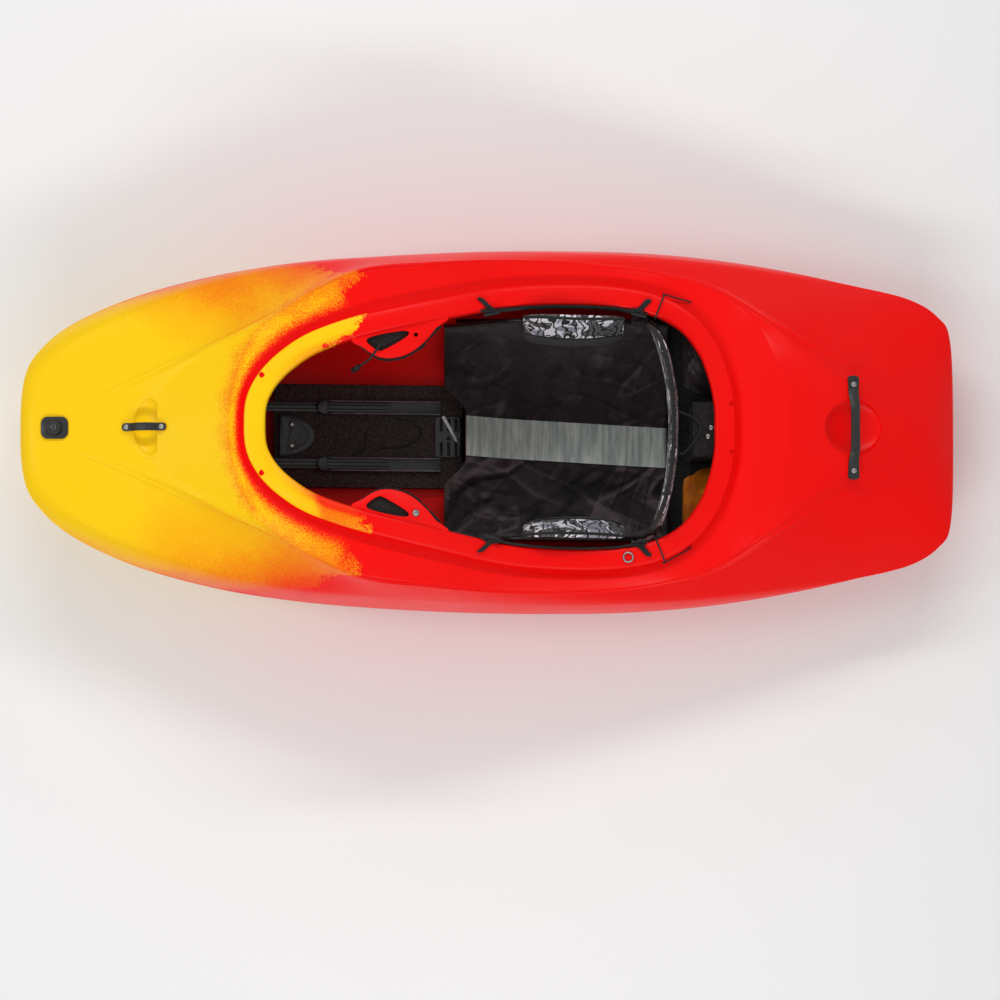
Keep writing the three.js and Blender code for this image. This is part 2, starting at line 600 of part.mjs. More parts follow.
const nutTop = Math.min(...steps(0, 2 * Math.PI, 12).map((angle) => {
  const edge = new THREE.Vector3(NUT_RADIUS * Math.cos(angle), NUT_RADIUS * Math.sin(angle), 0);
  const world = edge.clone().applyMatrix4(plugFrame);
  return new THREE.Vector3(world.x, world.y, ceilingAt(world.x, world.y))
    .applyMatrix4(plugFrame.clone().invert()).z;
})) - CLEARANCE;
addPiece("drain_ring_nut", toGeometry(cut(
  disc(NUT_RADIUS, NUT_HEIGHT, 6).translate(0, 0, nutTop - NUT_HEIGHT),
  disc(NECK_RADIUS + CLEARANCE, 3 * OVERRUN).translate(0, 0, -2 * OVERRUN),
)), blackPlastic, plugFrame);
addPiece("drain_sealing_ring", turned([
  [NECK_BORE, ringLow], [CAP_RADIUS, ringLow], [CAP_RADIUS, ringLow + RING_THICKNESS],
  [NECK_BORE, ringLow + RING_THICKNESS], [NECK_BORE, ringLow],
]), finish(0x0e0e0e, 0.8), plugFrame);
const gripBar = new THREE.BoxGeometry(1.7 * CAP_RADIUS, CAP_RADIUS / 3, CAP_HEIGHT)
  .translate(0, 0, capLow + CAP_HEIGHT);
const plugBody = turned([
  [0, capLow - STEM_LENGTH], [NECK_BORE - 2 * CLEARANCE, capLow - STEM_LENGTH],
  [NECK_BORE - 2 * CLEARANCE, capLow], [CAP_RADIUS, capLow], [CAP_RADIUS, capLow + 0.7 * CAP_HEIGHT],
  [0.85 * CAP_RADIUS, capLow + CAP_HEIGHT], [0, capLow + CAP_HEIGHT],
]);
addPiece("drain_plug", toGeometry(toSolid(plugBody).add(toSolid(gripBar))), blackPlastic, plugFrame);

// Thigh hooks moulded on the cockpit rim: a plate that follows the rim's slope, with a slot and a bolt hole
const HOOK_THICKNESS = 8;
const HOOK_REACH = 52;
const HOOK_RIBS = [6.35, 8.05];
const HOOK_SLOPE = 0.3;
const HOOK_DROP = 7;
const HOOK_BOLT_RADIUS = 4;

// A point of a hook in plan, by its place along the rim and its distance in from the rim's edge
function hookPoint(share, inward) {
  const rib = THREE.MathUtils.lerp(...HOOK_RIBS, share);
  const p = rimPoint(rib, -inward, HOOK_DROP + HOOK_SLOPE * Math.max(inward, 0));
  return p;
}

const hookSide = [
  [0, -3], [0.12, 0.42], [0.27, 0.8], [0.42, 0.98], [0.57, 1], [0.7, 0.88], [0.82, 0.62], [0.92, 0.3], [1, -3],
].map(([share, inward]) => [share, inward < 0 ? inward : inward * HOOK_REACH]);
const hookSlot = [[0.2, 0.12], [0.62, 0.12], [0.66, 0.34], [0.42, 0.62], [0.3, 0.6]]
  .map(([share, inward]) => [share, inward * HOOK_REACH]);

const hookPlane = new THREE.Plane()
  .setFromCoplanarPoints(hookPoint(0.1, 0), hookPoint(0.9, 0), hookPoint(0.5, HOOK_REACH));
if (hookPlane.normal.z < 0) hookPlane.negate();
const hookTop = (x, y) => -(hookPlane.constant + hookPlane.normal.x * x + hookPlane.normal.y * y) / hookPlane.normal.z;

function hookPlate(points, thickness, drop) {
  const corners = points.map(([share, inward]) => hookPoint(share, inward));
  const plate = prism(outline(corners.map((p) => [p.x, p.y])), thickness);
  const at = plate.attributes.position;
  for (let i = 0; i < at.count; i++) {
    at.setZ(i, at.getZ(i) + hookTop(at.getX(i), at.getY(i)) - drop - thickness);
  }
  return plate;
}

function mirrored(geometry) {
  const copy = geometry.index ? geometry.toNonIndexed() : geometry.clone();
  copy.scale(1, -1, 1);
  const at = copy.attributes.position.array;
  for (let i = 0; i < at.length; i += 9) {
    for (let k = 0; k < 3; k++) [at[i + k], at[i + 3 + k]] = [at[i + 3 + k], at[i + k]];
  }
  return copy;
}

const boltSpot = hookPoint(0.74, 0.36 * HOOK_REACH);
const boltPlane = facing(hookPlane.normal).setPosition(boltSpot.x, boltSpot.y, hookTop(boltSpot.x, boltSpot.y));
const boltHole = () => disc(HOOK_BOLT_RADIUS, 2 * OVERRUN, 16).translate(0, 0, -OVERRUN).applyMatrix4(boltPlane);
const hook = toGeometry(cut(hookPlate(hookSide, HOOK_THICKNESS, 0),
  hookPlate(hookSlot, HOOK_THICKNESS + OVERRUN, -OVERRUN / 2), boltHole()));
shellAdditions.push(hook, mirrored(hook));

// Four holes through the rim for an outfitting line, and the finished shell
const RIM_HOLE_RADIUS = 3.5;
const RIM_HOLE_RIBS = [2.6, 15.6];
RIM_HOLE_RIBS.forEach((rib) => {
  const p = rimAt(rib, RIM_WIDTH - LIP_OVERHANG / 2);
  [1, -1].forEach((side) => shellCuts.push(disc(RIM_HOLE_RADIUS, OVERRUN, 12)
    .translate(p.x, side * p.y, p.z - OVERRUN / 2)));
});
let shell = bareShell;
shellAdditions.forEach((extra) => { shell = shell.add(toSolid(extra)); });
shellCuts.forEach((tool) => { shell = shell.subtract(toSolid(tool)); });
addPiece("hull_shell", toGeometry(shell), redPlastic);

// Leg room: a foam mat with a flat sloping top, and a foam pillar from the floor to the bow deck
const MAT_AHEAD = 102;
const MAT_UNDER_SEAT = 36;
const MAT_HALF_WIDTH = 100;
const TRACK_FOOT_AHEAD = 14;
const TRACK_FOOT_HEIGHT = 26;
const TRACK_RISE = 0.167;
const PILLAR_TO_PLUG = 63;
const PILLAR_TO_MAT = 23;
const PILLAR_WIDTH = 52;

const matStart = trackStart - MAT_AHEAD;
const matEnd = seatFront + MAT_UNDER_SEAT;
const trackFoot = seatFront - TRACK_FOOT_AHEAD;
const pillarEnd = matStart - PILLAR_TO_MAT;
const trackPlane = (x) => TRACK_FOOT_HEIGHT + TRACK_RISE * (trackFoot - x);

function block(xs, ysAt, lowAt, highAt) {
  const grid = (heightAt) => xs.map((x) => ysAt(x).map((y) => new THREE.Vector3(x, y, heightAt(x, y))));
  return between(grid(lowAt), grid(highAt));
}

function box([x1, y1, z1], [x2, y2, z2]) {
  return new THREE.BoxGeometry(x2 - x1, y2 - y1, z2 - z1)
    .translate((x1 + x2) / 2, (y1 + y2) / 2, (z1 + z2) / 2);
}

const onFloor = (x, y) => floorAt(x, y) + CLEARANCE;
const matSides = () => steps(-MAT_HALF_WIDTH, MAT_HALF_WIDTH, 6);
addPiece("floor_mat", block(steps(matStart, matEnd, 8), matSides, onFloor, trackPlane), blackFoam);
addPiece("bow_pillar", fitted(box(
  [plugX + PILLAR_TO_PLUG, -PILLAR_WIDTH / 2, 0],
  [pillarEnd, PILLAR_WIDTH / 2, HEIGHT],
)), blackFoam);

// A frame on the sloping top of the mat, its x axis running down the slope towards the stern
function trackFrame(x, y) {
  const turn = Math.atan(TRACK_RISE);
  return new THREE.Matrix4().makeRotationY(turn).setPosition(x, y, trackPlane(x) + CLEARANCE);
}

const downSlope = (length) => length * Math.hypot(1, TRACK_RISE);

// Foot braces: a bar slides in a channel screwed to the mat and carries a foam faced plate for the foot
const TRACK_SPACING = 110;
const TRACK_WIDTH = 28;
const TRACK_HEIGHT = 12;
const TRACK_WALL = 2.5;
const PLATE_INSET = 250;
const PLATE_INNER = 40;
const PLATE_WIDTH = 140;
const PLATE_HEIGHT = 92;
const PLATE_THICKNESS = 6;
const PLATE_CORNER = 22;
const FACING_THICKNESS = 24;
const BAR_WIDTH = 18;
const BAR_THICKNESS = 6;
const BAR_TO_TRACK_END = 98;
const CAP_WALL = 3;
const CAP_LENGTH = 12;
const GUIDE_GAP = 1;
const SIDES = [["starboard", 1], ["port", -1]];

const plateX = PLATE_INSET - LENGTH / 2;
const barEnd = trackEnd - BAR_TO_TRACK_END;
const channel = outline([
  [-TRACK_WIDTH / 2, 0], [TRACK_WIDTH / 2, 0], [TRACK_WIDTH / 2, TRACK_HEIGHT],
  [TRACK_WIDTH / 2 - TRACK_WALL, TRACK_HEIGHT], [TRACK_WIDTH / 2 - TRACK_WALL, TRACK_WALL],
  [TRACK_WALL - TRACK_WIDTH / 2, TRACK_WALL], [TRACK_WALL - TRACK_WIDTH / 2, TRACK_HEIGHT],
  [-TRACK_WIDTH / 2, TRACK_HEIGHT],
]);
const barLow = TRACK_WALL + CLEARANCE;
const barTop = barLow + BAR_THICKNESS;
const plateShape = roundedRectangle(PLATE_HEIGHT, PLATE_WIDTH, PLATE_CORNER);

SIDES.forEach(([side, sign]) => {
  const y = (sign * TRACK_SPACING) / 2;
  const start = trackFrame(trackStart, y);
  const track = prism(channel, downSlope(trackEnd - trackStart)).rotateZ(Math.PI / 2).rotateY(Math.PI / 2);
  addPiece(`foot_track_${side}`, track, blackPlastic, start);
  const plateFrame = trackFrame(plateX, y);
  const middle = sign * (PLATE_INNER + PLATE_WIDTH / 2) - y;
  const standing = (thickness, x) => prism(plateShape, thickness)
    .rotateY(Math.PI / 2)
    .translate(x, middle, barLow + PLATE_HEIGHT / 2);
  const bar = box(
    [-PLATE_THICKNESS / 2, -BAR_WIDTH / 2, barLow],
    [downSlope(barEnd - plateX), BAR_WIDTH / 2, barTop],
  );
  const plate = toSolid(standing(PLATE_THICKNESS, -PLATE_THICKNESS)).add(toSolid(bar));
  addPiece(`foot_brace_${side}`, toGeometry(plate), blackPlastic, plateFrame);
  const barRoom = (from, to) => box(
    [from, -BAR_WIDTH / 2 - GUIDE_GAP, barLow - GUIDE_GAP],
    [to, BAR_WIDTH / 2 + GUIDE_GAP, barTop + GUIDE_GAP],
  );
  addPiece(`foot_pad_${side}`, toGeometry(cut(
    standing(FACING_THICKNESS, CLEARANCE),
    barRoom(-FACING_THICKNESS, 2 * FACING_THICKNESS),
  )), blackFoam, plateFrame);
  const cap = cut(
    disc(TRACK_WIDTH / 2, TRACK_HEIGHT + CAP_WALL, 20).translate(-CAP_LENGTH / 2, 0, 0),
    box([-CLEARANCE, -TRACK_WIDTH, -OVERRUN], [2 * TRACK_WIDTH, TRACK_WIDTH, OVERRUN]),
    barRoom(-2 * TRACK_WIDTH, TRACK_WIDTH),
  );
  addPiece(`track_end_cap_${side}`, toGeometry(cap), blackPlastic, start);
});

// A moulded saddle at the front of the mat that holds the foot of the bow pillar, with two screws
const SADDLE_ON_MAT = 11;
const SADDLE_LENGTH = 68;
const SADDLE_WIDTH = 82;
const SADDLE_THICKNESS = 7;
const SADDLE_HOLLOW = 3;
const SADDLE_MARGIN = 12;

const saddleFrame = trackFrame(matStart + SADDLE_ON_MAT, 0);
function saddleShape(inset) {
  const half = SADDLE_WIDTH / 2 - inset;
  const shape = new THREE.Shape();
  shape.moveTo(inset, -half);
  shape.absellipse(inset, 0, SADDLE_LENGTH - 2 * inset, half, -Math.PI / 2, Math.PI / 2);
  shape.lineTo(inset, half);
  return shape;
}
const saddleScrews = [-SADDLE_WIDTH / 4, SADDLE_WIDTH / 4];
const saddleScrewHeight = SADDLE_THICKNESS - SADDLE_HOLLOW;
addPiece("pillar_saddle", toGeometry(cut(prism(saddleShape(0), SADDLE_THICKNESS),
  prism(saddleShape(SADDLE_MARGIN), SADDLE_THICKNESS).translate(0, 0, saddleScrewHeight),
  ...saddleScrews.map((y) => disc(SCREW_SHANK_RADIUS + CLEARANCE, OVERRUN, 12)
    .translate(2 * SADDLE_MARGIN, y, -OVERRUN / 2)))), blackPlastic, saddleFrame);
saddleScrews.forEach((y, i) => addPiece(`saddle_screw_${i + 1}`, turned([
  [0, CLEARANCE], [SCREW_SHANK_RADIUS, CLEARANCE], [SCREW_SHANK_RADIUS, saddleScrewHeight + CLEARANCE],
  [SCREW_HEAD_RADIUS, saddleScrewHeight + CLEARANCE],
  [0.8 * SCREW_HEAD_RADIUS, saddleScrewHeight + SCREW_HEAD_HEIGHT], [0, saddleScrewHeight + SCREW_HEAD_HEIGHT],
], 12).translate(2 * SADDLE_MARGIN, y, 0), steel, saddleFrame));

// Seat: two runners on the floor, a bucket moulded to a smooth trough, its padded cover and a webbing strip
const SEAT_NOTCH = 42;
const RUNNER_SPACING = 180;
const RUNNER_WIDTH = 24;
const RUNNER_HEIGHT = 14;
const RUNNER_SETBACK = 42;
const RUNNER_SHORT = 20;
const SEAT_WALL = 5;
const SEAT_FLAT = 128;
const SEAT_UNDER_RIM = 53;
const SEAT_FRONT_RISE = 40;
const SEAT_BACK_RISE = 10;
const COVER_THICKNESS = 17;
const COVER_EDGE = 6;
const STRIP_WIDTH = 77;
const STRIP_THICKNESS = 2;
const STRIP_DRIFT = -23;

const BAND_BOLT_AHEAD = 60;
const bandBoltX = seatBack - BAND_BOLT_AHEAD;
const rimOverBolt = rimCrest(bandBoltX).z;
const seatSideHeight = rimOverBolt - SEAT_UNDER_RIM;
const runnerTop = WALL + RUNNER_HEIGHT;
SIDES.forEach(([side, sign]) => {
  const middle = (sign * RUNNER_SPACING) / 2;
  const edges = () => [middle - RUNNER_WIDTH / 2, middle + RUNNER_WIDTH / 2];
  addPiece(`seat_runner_${side}`,
    block(steps(seatFront + RUNNER_SETBACK, seatBack - RUNNER_SHORT, 6), edges, onFloor, () => runnerTop), blackPlastic);
});

// Height of the bucket's side at a place along the seat: low at the thighs, high at the hips
const SEAT_SIDE_SHARES = [0.42, 0.7, 0.96, 1, 1, 0.98, 0.8, 0.6];
const SEAT_TURN = 0.56;

function seatSide(along) {
  const at = along * (SEAT_SIDE_SHARES.length - 1);
  const first = Math.min(Math.floor(at), SEAT_SIDE_SHARES.length - 2);
  return seatSideHeight * THREE.MathUtils.lerp(SEAT_SIDE_SHARES[first], SEAT_SIDE_SHARES[first + 1], at - first);
}

// A point of the bucket's inner face, raised off it by a thickness: across runs from -1 port to 1
function seatPoint(along, across, raise) {
  const share = Math.abs(across);
  const front = seatFront + SEAT_NOTCH * (1 - THREE.MathUtils.smoothstep(share, 0.2, 0.45));
  const bend = Math.max(share - SEAT_TURN, 0) / (1 - SEAT_TURN);
  const flat = (Math.min(share, SEAT_TURN) / SEAT_TURN) * SEAT_FLAT;
  const outer = (seatHalfWidth - raise - SEAT_FLAT) * Math.sin((Math.PI / 2) * Math.min(1.5 * bend, 1));
  const nose = Math.max(0.3 - along, 0) / 0.3;
  const tail = Math.max(along - 0.75, 0) / 0.25;
  const base = raise + SEAT_FRONT_RISE * nose * nose + SEAT_BACK_RISE * tail * tail;
  const z = base + (seatSide(along) - base) * Math.pow(bend, 1.6);
  return new THREE.Vector3(
    THREE.MathUtils.lerp(front, seatBack, along),
    Math.sign(across) * (flat + outer),
    runnerTop + CLEARANCE + SEAT_WALL + z,
  );
}

const acrossSteps = [-1, -0.9, -0.8, -0.7, -0.6, -0.45, -0.2, 0, 0.2, 0.45, 0.6, 0.7, 0.8, 0.9, 1];
const alongSteps = steps(0, 1, 10);
const seatGrid = (raiseAt, rows = alongSteps) => rows
  .map((along) => acrossSteps.map((across) => seatPoint(along, across, raiseAt(along, across))));

function coverThickness(along, across) {
  const middle = 1 - Math.abs(across) ** 3;
  const ends = Math.sin(Math.PI * THREE.MathUtils.clamp(along, 0.04, 0.96)) ** 0.35;
  return COVER_EDGE + (COVER_THICKNESS - COVER_EDGE) * middle * ends;
}

const coverLow = 2 * CLEARANCE;
addPiece("seat_cover", between(seatGrid(() => coverLow), seatGrid((u, v) => coverLow + coverThickness(u, v))),
  blackFabric);
const stripRaise = 3 * CLEARANCE;
const stripPoint = (along, across, raise) => {
  const y = STRIP_DRIFT * along + (across * STRIP_WIDTH) / 2;
  const share = (SEAT_TURN * y) / SEAT_FLAT;
  return seatPoint(along, share, coverLow + coverThickness(along, share) + raise);
};
const stripGrid = (raise) => alongSteps
  .map((along) => steps(-1, 1, 4).map((across) => stripPoint(along, across, raise)));
addPiece("seat_strip", between(stripGrid(stripRaise), stripGrid(stripRaise + STRIP_THICKNESS)), greyWebbing);

// Adjusting plate under the nose of the seat, with slots and two holes, and its steel latch
const LADDER_AHEAD = 18;
const LADDER_RUN = 52;
const LADDER_WIDTH = 78;
const LADDER_THICKNESS = 5;
const SLOT_LENGTH = 26;
const SLOT_WIDTH = 6;
const LADDER_HOLE = 4;
const LATCH_LENGTH = 58;
const LATCH_WIDTH = 7;
const LATCH_THICKNESS = 1.6;

const ladderFrame = trackFrame(seatFront - LADDER_AHEAD, 0);
const ladderLength = downSlope(LADDER_RUN);
const slotColumns = [-0.3, 0.3];
const slotRows = [0.22, 0.5, 0.78];
const ladderCuts = slotColumns.flatMap((v) => slotRows.map((u) => box(
  [u * ladderLength - SLOT_WIDTH / 2, v * LADDER_WIDTH - SLOT_LENGTH / 2, -OVERRUN],
  [u * ladderLength + SLOT_WIDTH / 2, v * LADDER_WIDTH + SLOT_LENGTH / 2, OVERRUN],
)));
const ladderHoles = [0.5, 0.8].map((u) => disc(LADDER_HOLE, 2 * OVERRUN, 12)
  .translate(u * ladderLength, -SLOT_WIDTH / 2, -OVERRUN));
addPiece("seat_ladder_plate", toGeometry(cut(
  prism(roundedRectangle(ladderLength, LADDER_WIDTH, SLOT_WIDTH), LADDER_THICKNESS).translate(ladderLength / 2, 0, 0),
  ...ladderCuts, ...ladderHoles,
)), blackPlastic, ladderFrame);
addPiece("seat_latch", prism(roundedRectangle(LATCH_LENGTH, LATCH_WIDTH, LATCH_WIDTH / 2 - CLEARANCE), LATCH_THICKNESS)
  .rotateZ(-Math.PI / 3)
  .translate(ladderLength * 0.55, LADDER_WIDTH / 5, LADDER_THICKNESS + CLEARANCE), steel, ladderFrame);

// Hip pads: curved cushions inside the bucket's sides that stand a little above the cockpit rim
const HIP_TO_SEAT_BACK = 87;
const HIP_LENGTH = 192;
const HIP_ABOVE_SEAT = 14;
const HIP_SEAT_SHARE = 0.87;
const HIP_TOP_LEAN = 6;
const HIP_THICKNESS = 34;
const HIP_TOP_THICKNESS = 17;
const HIP_ROUNDING = 7;
const HIP_STAND_SHARES = [0.2, 0.95, 1, 0.9, 0.8, 0.62, 0.2];
const HIP_STAND = 38;

const hipOuter = seatHalfWidth - coverLow - coverThickness(0.5, HIP_SEAT_SHARE) - CLEARANCE;
const hipTopOuter = seatHalfWidth + HIP_TOP_LEAN;
const hipLow = seatPoint(0.5, HIP_SEAT_SHARE, 0).z + HIP_ABOVE_SEAT;
const hipEnd = seatBack - HIP_TO_SEAT_BACK;
const hipRows = HIP_STAND_SHARES.length - 1;
const HIP_LEVELS = 5;

function hipGrid(sign, inner) {
  return steps(0, 1, hipRows).map((along, row) => {
    const x = THREE.MathUtils.lerp(hipEnd - HIP_LENGTH, hipEnd, along);
    const top = rimCrest(x).z + HIP_STAND * HIP_STAND_SHARES[row];
    const fullness = Math.sin(Math.PI * (0.12 + 0.76 * along)) ** 0.5;
    return steps(0, 1, HIP_LEVELS).map((up) => {
      const edge = up === 0 || up === 1 ? HIP_ROUNDING / HIP_THICKNESS : 1;
      const thickness = THREE.MathUtils.lerp(HIP_THICKNESS, HIP_TOP_THICKNESS, up) * fullness;
      const outer = THREE.MathUtils.lerp(hipOuter, hipTopOuter, THREE.MathUtils.smoothstep(up, 0.5, 1));
      const y = inner ? outer - Math.max(thickness * (0.4 + 0.6 * edge), HIP_ROUNDING) : outer;
      return new THREE.Vector3(x, sign * y, THREE.MathUtils.lerp(hipLow, top, up));
    });
  });
}

SIDES.forEach(([side, sign]) => addPiece(`hip_pad_${side}`,
  between(hipGrid(sign, true), hipGrid(sign, false)), printedFabric));

// Backband: a padded band across the back, on a bolt through each side of the bucket
const BAND_OUTSIDE_SEAT = 9;
const BOLT_UNDER_RIM = 87;
const BAND_DEPTH = 54;
const BAND_THICKNESS = 17;
const BAND_TAB_THICKNESS = 5;
const BAND_OVER_RIM = 59;
const BAND_DEPTH_UNDER_RIM = 75;
const BAND_ARM_UNDER_RIM = 37;
const BAND_ARM_WIDTH = 40;
const BAND_TAB_WIDTH = 62;
const BAND_LEAN = 15;
const BAND_TAB_FRONT = 12;
const BOLT_RADIUS = 4;
const BOLT_HEAD_RADIUS = 8;
const BOLT_HEAD_HEIGHT = 3.5;

const bandHalfSpan = seatHalfWidth + BAND_OUTSIDE_SEAT;
const bandBoltZ = rimOverBolt - BOLT_UNDER_RIM;
const bandTop = rimOverBolt + BAND_OVER_RIM;
const bandLow = rimOverBolt - BAND_DEPTH_UNDER_RIM;
const armTop = rimOverBolt - BAND_ARM_UNDER_RIM;
const armLow = armTop - BAND_ARM_WIDTH;
const tabLow = armTop - BAND_TAB_WIDTH;

// Middle of the band in plan, from one tab round the back to the other, with u from -1 to 1
function bandPoint(u) {
  const share = Math.abs(u);
  const y = bandHalfSpan * Math.sin((Math.PI / 2) * Math.min(share / 0.92, 1));
  const back = BAND_DEPTH * Math.cos((Math.PI / 2) * Math.min(share / 0.92, 1)) ** 1.15;
  const tab = Math.max(share - 0.92, 0) / 0.08;
  return new THREE.Vector3(bandBoltX + BAND_TAB_FRONT * (1 - 2 * tab) + back, Math.sign(u) * y, 0);
}

function bandGrid(side) {
  return steps(-1, 1, 28).map((u) => {
    const step = 0.01;
    const at = bandPoint(u);
    const run = bandPoint(Math.min(u + step, 1)).sub(bandPoint(Math.max(u - step, -1)));
    const out = new THREE.Vector3(run.y, -run.x, 0).normalize();
    const middle = 1 - THREE.MathUtils.smoothstep(Math.abs(u), 0.45, 0.92);
    const tab = THREE.MathUtils.smoothstep(Math.abs(u), 0.9, 0.94);
    const low = THREE.MathUtils.lerp(THREE.MathUtils.lerp(armLow, tabLow, tab), bandLow, middle);
    const top = THREE.MathUtils.lerp(armTop, bandTop, middle);
    return steps(0, 1, 5).map((up) => {
      const crown = up === 0 || up === 1 ? 0.45 : 1;
      const thickness = THREE.MathUtils.lerp(BAND_TAB_THICKNESS, BAND_THICKNESS * crown, middle);
      const z = THREE.MathUtils.lerp(low, top, up);
      const lean = (BAND_LEAN / bandHalfSpan) * THREE.MathUtils.smoothstep(z, armTop - BAND_THICKNESS, armTop + BAND_THICKNESS / 2);
      const p = at.clone().addScaledVector(out, (side * thickness) / 2);
      return p.set(p.x, p.y * (1 - lean), z);
    });
  });
}

const boltAlong = (radius, from, to, sides = 16) => disc(radius, to - from, sides)
  .translate(0, 0, from).rotateX(-Math.PI / 2);
const boltPlace = (sign) => new THREE.Matrix4().makeRotationZ(sign > 0 ? 0 : Math.PI)
  .setPosition(bandBoltX, 0, bandBoltZ);
const boltHoles = SIDES.map(([, sign]) => boltAlong(BOLT_RADIUS + CLEARANCE,
  seatHalfWidth - SEAT_WALL, bandHalfSpan + OVERRUN).applyMatrix4(boltPlace(sign)));
addPiece("backband", toGeometry(cut(between(bandGrid(-1), bandGrid(1)), ...boltHoles)), printedFabric);
addPiece("seat_pan", toGeometry(cut(between(seatGrid(() => -SEAT_WALL), seatGrid(() => 0)), ...boltHoles)),
  blackPlastic);
const boltHead = bandHalfSpan + BAND_TAB_THICKNESS / 2 + CLEARANCE;
SIDES.forEach(([side, sign]) => addPiece(`backband_bolt_${side}`, toGeometry(
  toSolid(boltAlong(BOLT_RADIUS, seatHalfWidth + CLEARANCE, boltHead + CLEARANCE))
    .add(toSolid(boltAlong(BOLT_HEAD_RADIUS, boltHead, boltHead + BOLT_HEAD_HEIGHT))),
), steel, boltPlace(sign)));

// Webbing tabs folded over the rim, each with a ladder buckle inside the cockpit, and one steel ring
const TAB_WIDTH = 21;
const TAB_THICKNESS = 2.6;
const TAB_DROP = 23;
const TAB_OUT = 25;
const BUCKLE_WIDTH = 30;
const BUCKLE_DROP = 14;
const BUCKLE_HEIGHT = 24;
const BUCKLE_THICKNESS = 4;
const BUCKLE_BAR = 4;
const TABS_AHEAD = [["front", 423], ["rear", 143]];

// A point of the rim as the shell's flat faces make it
function rimFacet(rib, out, drop) {
  const step = LAST_RIB / Math.round(STEPS_ROUND / 2);
  const first = Math.floor(rib / step) * step;
  return rimPoint(first, out, drop).lerp(rimPoint(first + step, out, drop), (rib - first) / step);
}

// Offsets from the rim's inner edge of a strap's face that lies a given distance off the rim
const tabFace = (off) => [
  [-off, TAB_DROP], [-off, RIM_ROUNDING - off / 2], [RIM_WIDTH / 2, -off], [TAB_OUT, -off / 2 + CLEARANCE],
];

TABS_AHEAD.forEach(([place, ahead]) => SIDES.forEach(([side, sign]) => {
  const start = ribAt(cockpitBack - ahead - TAB_WIDTH / 2);
  const end = ribAt(cockpitBack - ahead + TAB_WIDTH / 2);
  const grid = (off) => steps(start, end, 3).map((rib) => tabFace(off).map(([out, drop]) => {
    const p = rimFacet(rib, out, drop);
    return p.setY(sign * p.y);
  }));
  addPiece(`rim_tab_${place}_${side}`, between(grid(2 * CLEARANCE), grid(2 * CLEARANCE + TAB_THICKNESS)), blackFabric);
  const hang = rimPoint((start + end) / 2, -2 * CLEARANCE - TAB_THICKNESS, BUCKLE_DROP);
  const run = rimPoint(end, 0, 0).sub(rimPoint(start, 0, 0));
  const turn = sign * Math.atan2(run.y, run.x);
  const slot = BUCKLE_WIDTH - 2 * BUCKLE_BAR;
  const gap = (BUCKLE_HEIGHT - 3 * BUCKLE_BAR) / 2;
  const slots = [-1, 1].map((k) => box(
    [-slot / 2, -OVERRUN, (k * (gap + BUCKLE_BAR)) / 2 - gap / 2],
    [slot / 2, OVERRUN, (k * (gap + BUCKLE_BAR)) / 2 + gap / 2],
  ));
  const frame = cut(box(
    [-BUCKLE_WIDTH / 2, -BUCKLE_THICKNESS / 2, -BUCKLE_HEIGHT / 2],
    [BUCKLE_WIDTH / 2, BUCKLE_THICKNESS / 2, BUCKLE_HEIGHT / 2],
  ), ...slots);
  const at = new THREE.Matrix4().makeRotationZ(turn)
    .setPosition(hang.x, sign * (hang.y - BUCKLE_THICKNESS / 2 - 5 * CLEARANCE), hang.z);
  addPiece(`rim_buckle_${place}_${side}`, toGeometry(frame), blackPlastic, at);
}));

const D_RING_AHEAD = 167;
const D_RING_RADIUS = 9;
const D_RING_WIRE = 1.7;
const ringSpot = rimPoint(ribAt(cockpitBack - D_RING_AHEAD), RIM_WIDTH / 2, -D_RING_WIRE - 2 * CLEARANCE);
addPiece("rim_ring", new THREE.TorusGeometry(D_RING_RADIUS, D_RING_WIRE, 8, 20)
  .rotateY(0.08)
  .translate(ringSpot.x, -ringSpot.y, ringSpot.z + 2 * CLEARANCE), steel);

// Stern pillar with two bolts on top, and an inflated float bag on each side of it
const STERN_PILLAR_AHEAD = 41;
const STERN_PILLAR_INSET = 130;
const STERN_PILLAR_WIDTH = 104;
const STERN_PILLAR_UNDER_RIM = 38;
const STERN_BOLTS = [[11, -14], [5, 3]];
const sternPillarTop = guidePoint(RIM_SHARES, LAST_RIB).z - STERN_PILLAR_UNDER_RIM;
addPiece("stern_pillar", fitted(box(
  [cockpitBack - STERN_PILLAR_AHEAD, -STERN_PILLAR_WIDTH / 2, 0],
  [LENGTH / 2 - STERN_PILLAR_INSET, STERN_PILLAR_WIDTH / 2, sternPillarTop],
)), blackFoam);
STERN_BOLTS.forEach(([ahead, y], i) => addPiece(`stern_bolt_${i + 1}`, turned([
  [0, 0], [SCREW_HEAD_RADIUS, 0], [0.8 * SCREW_HEAD_RADIUS, SCREW_HEAD_HEIGHT], [0, SCREW_HEAD_HEIGHT],
], 12).translate(cockpitBack - ahead, y, sternPillarTop + CLEARANCE), steel));

const BAG_AHEAD = 57;
const BAG_INSET = 190;
const BAG_INNER = STERN_PILLAR_WIDTH / 2 + 6;
const BAG_CENTRE = [150, 132];
const BAG_HALF_WIDTH = 104;
const BAG_HALF_HEIGHT = 98;
const BAG_GAP = 0.5;
const BAG_SIDES = 16;

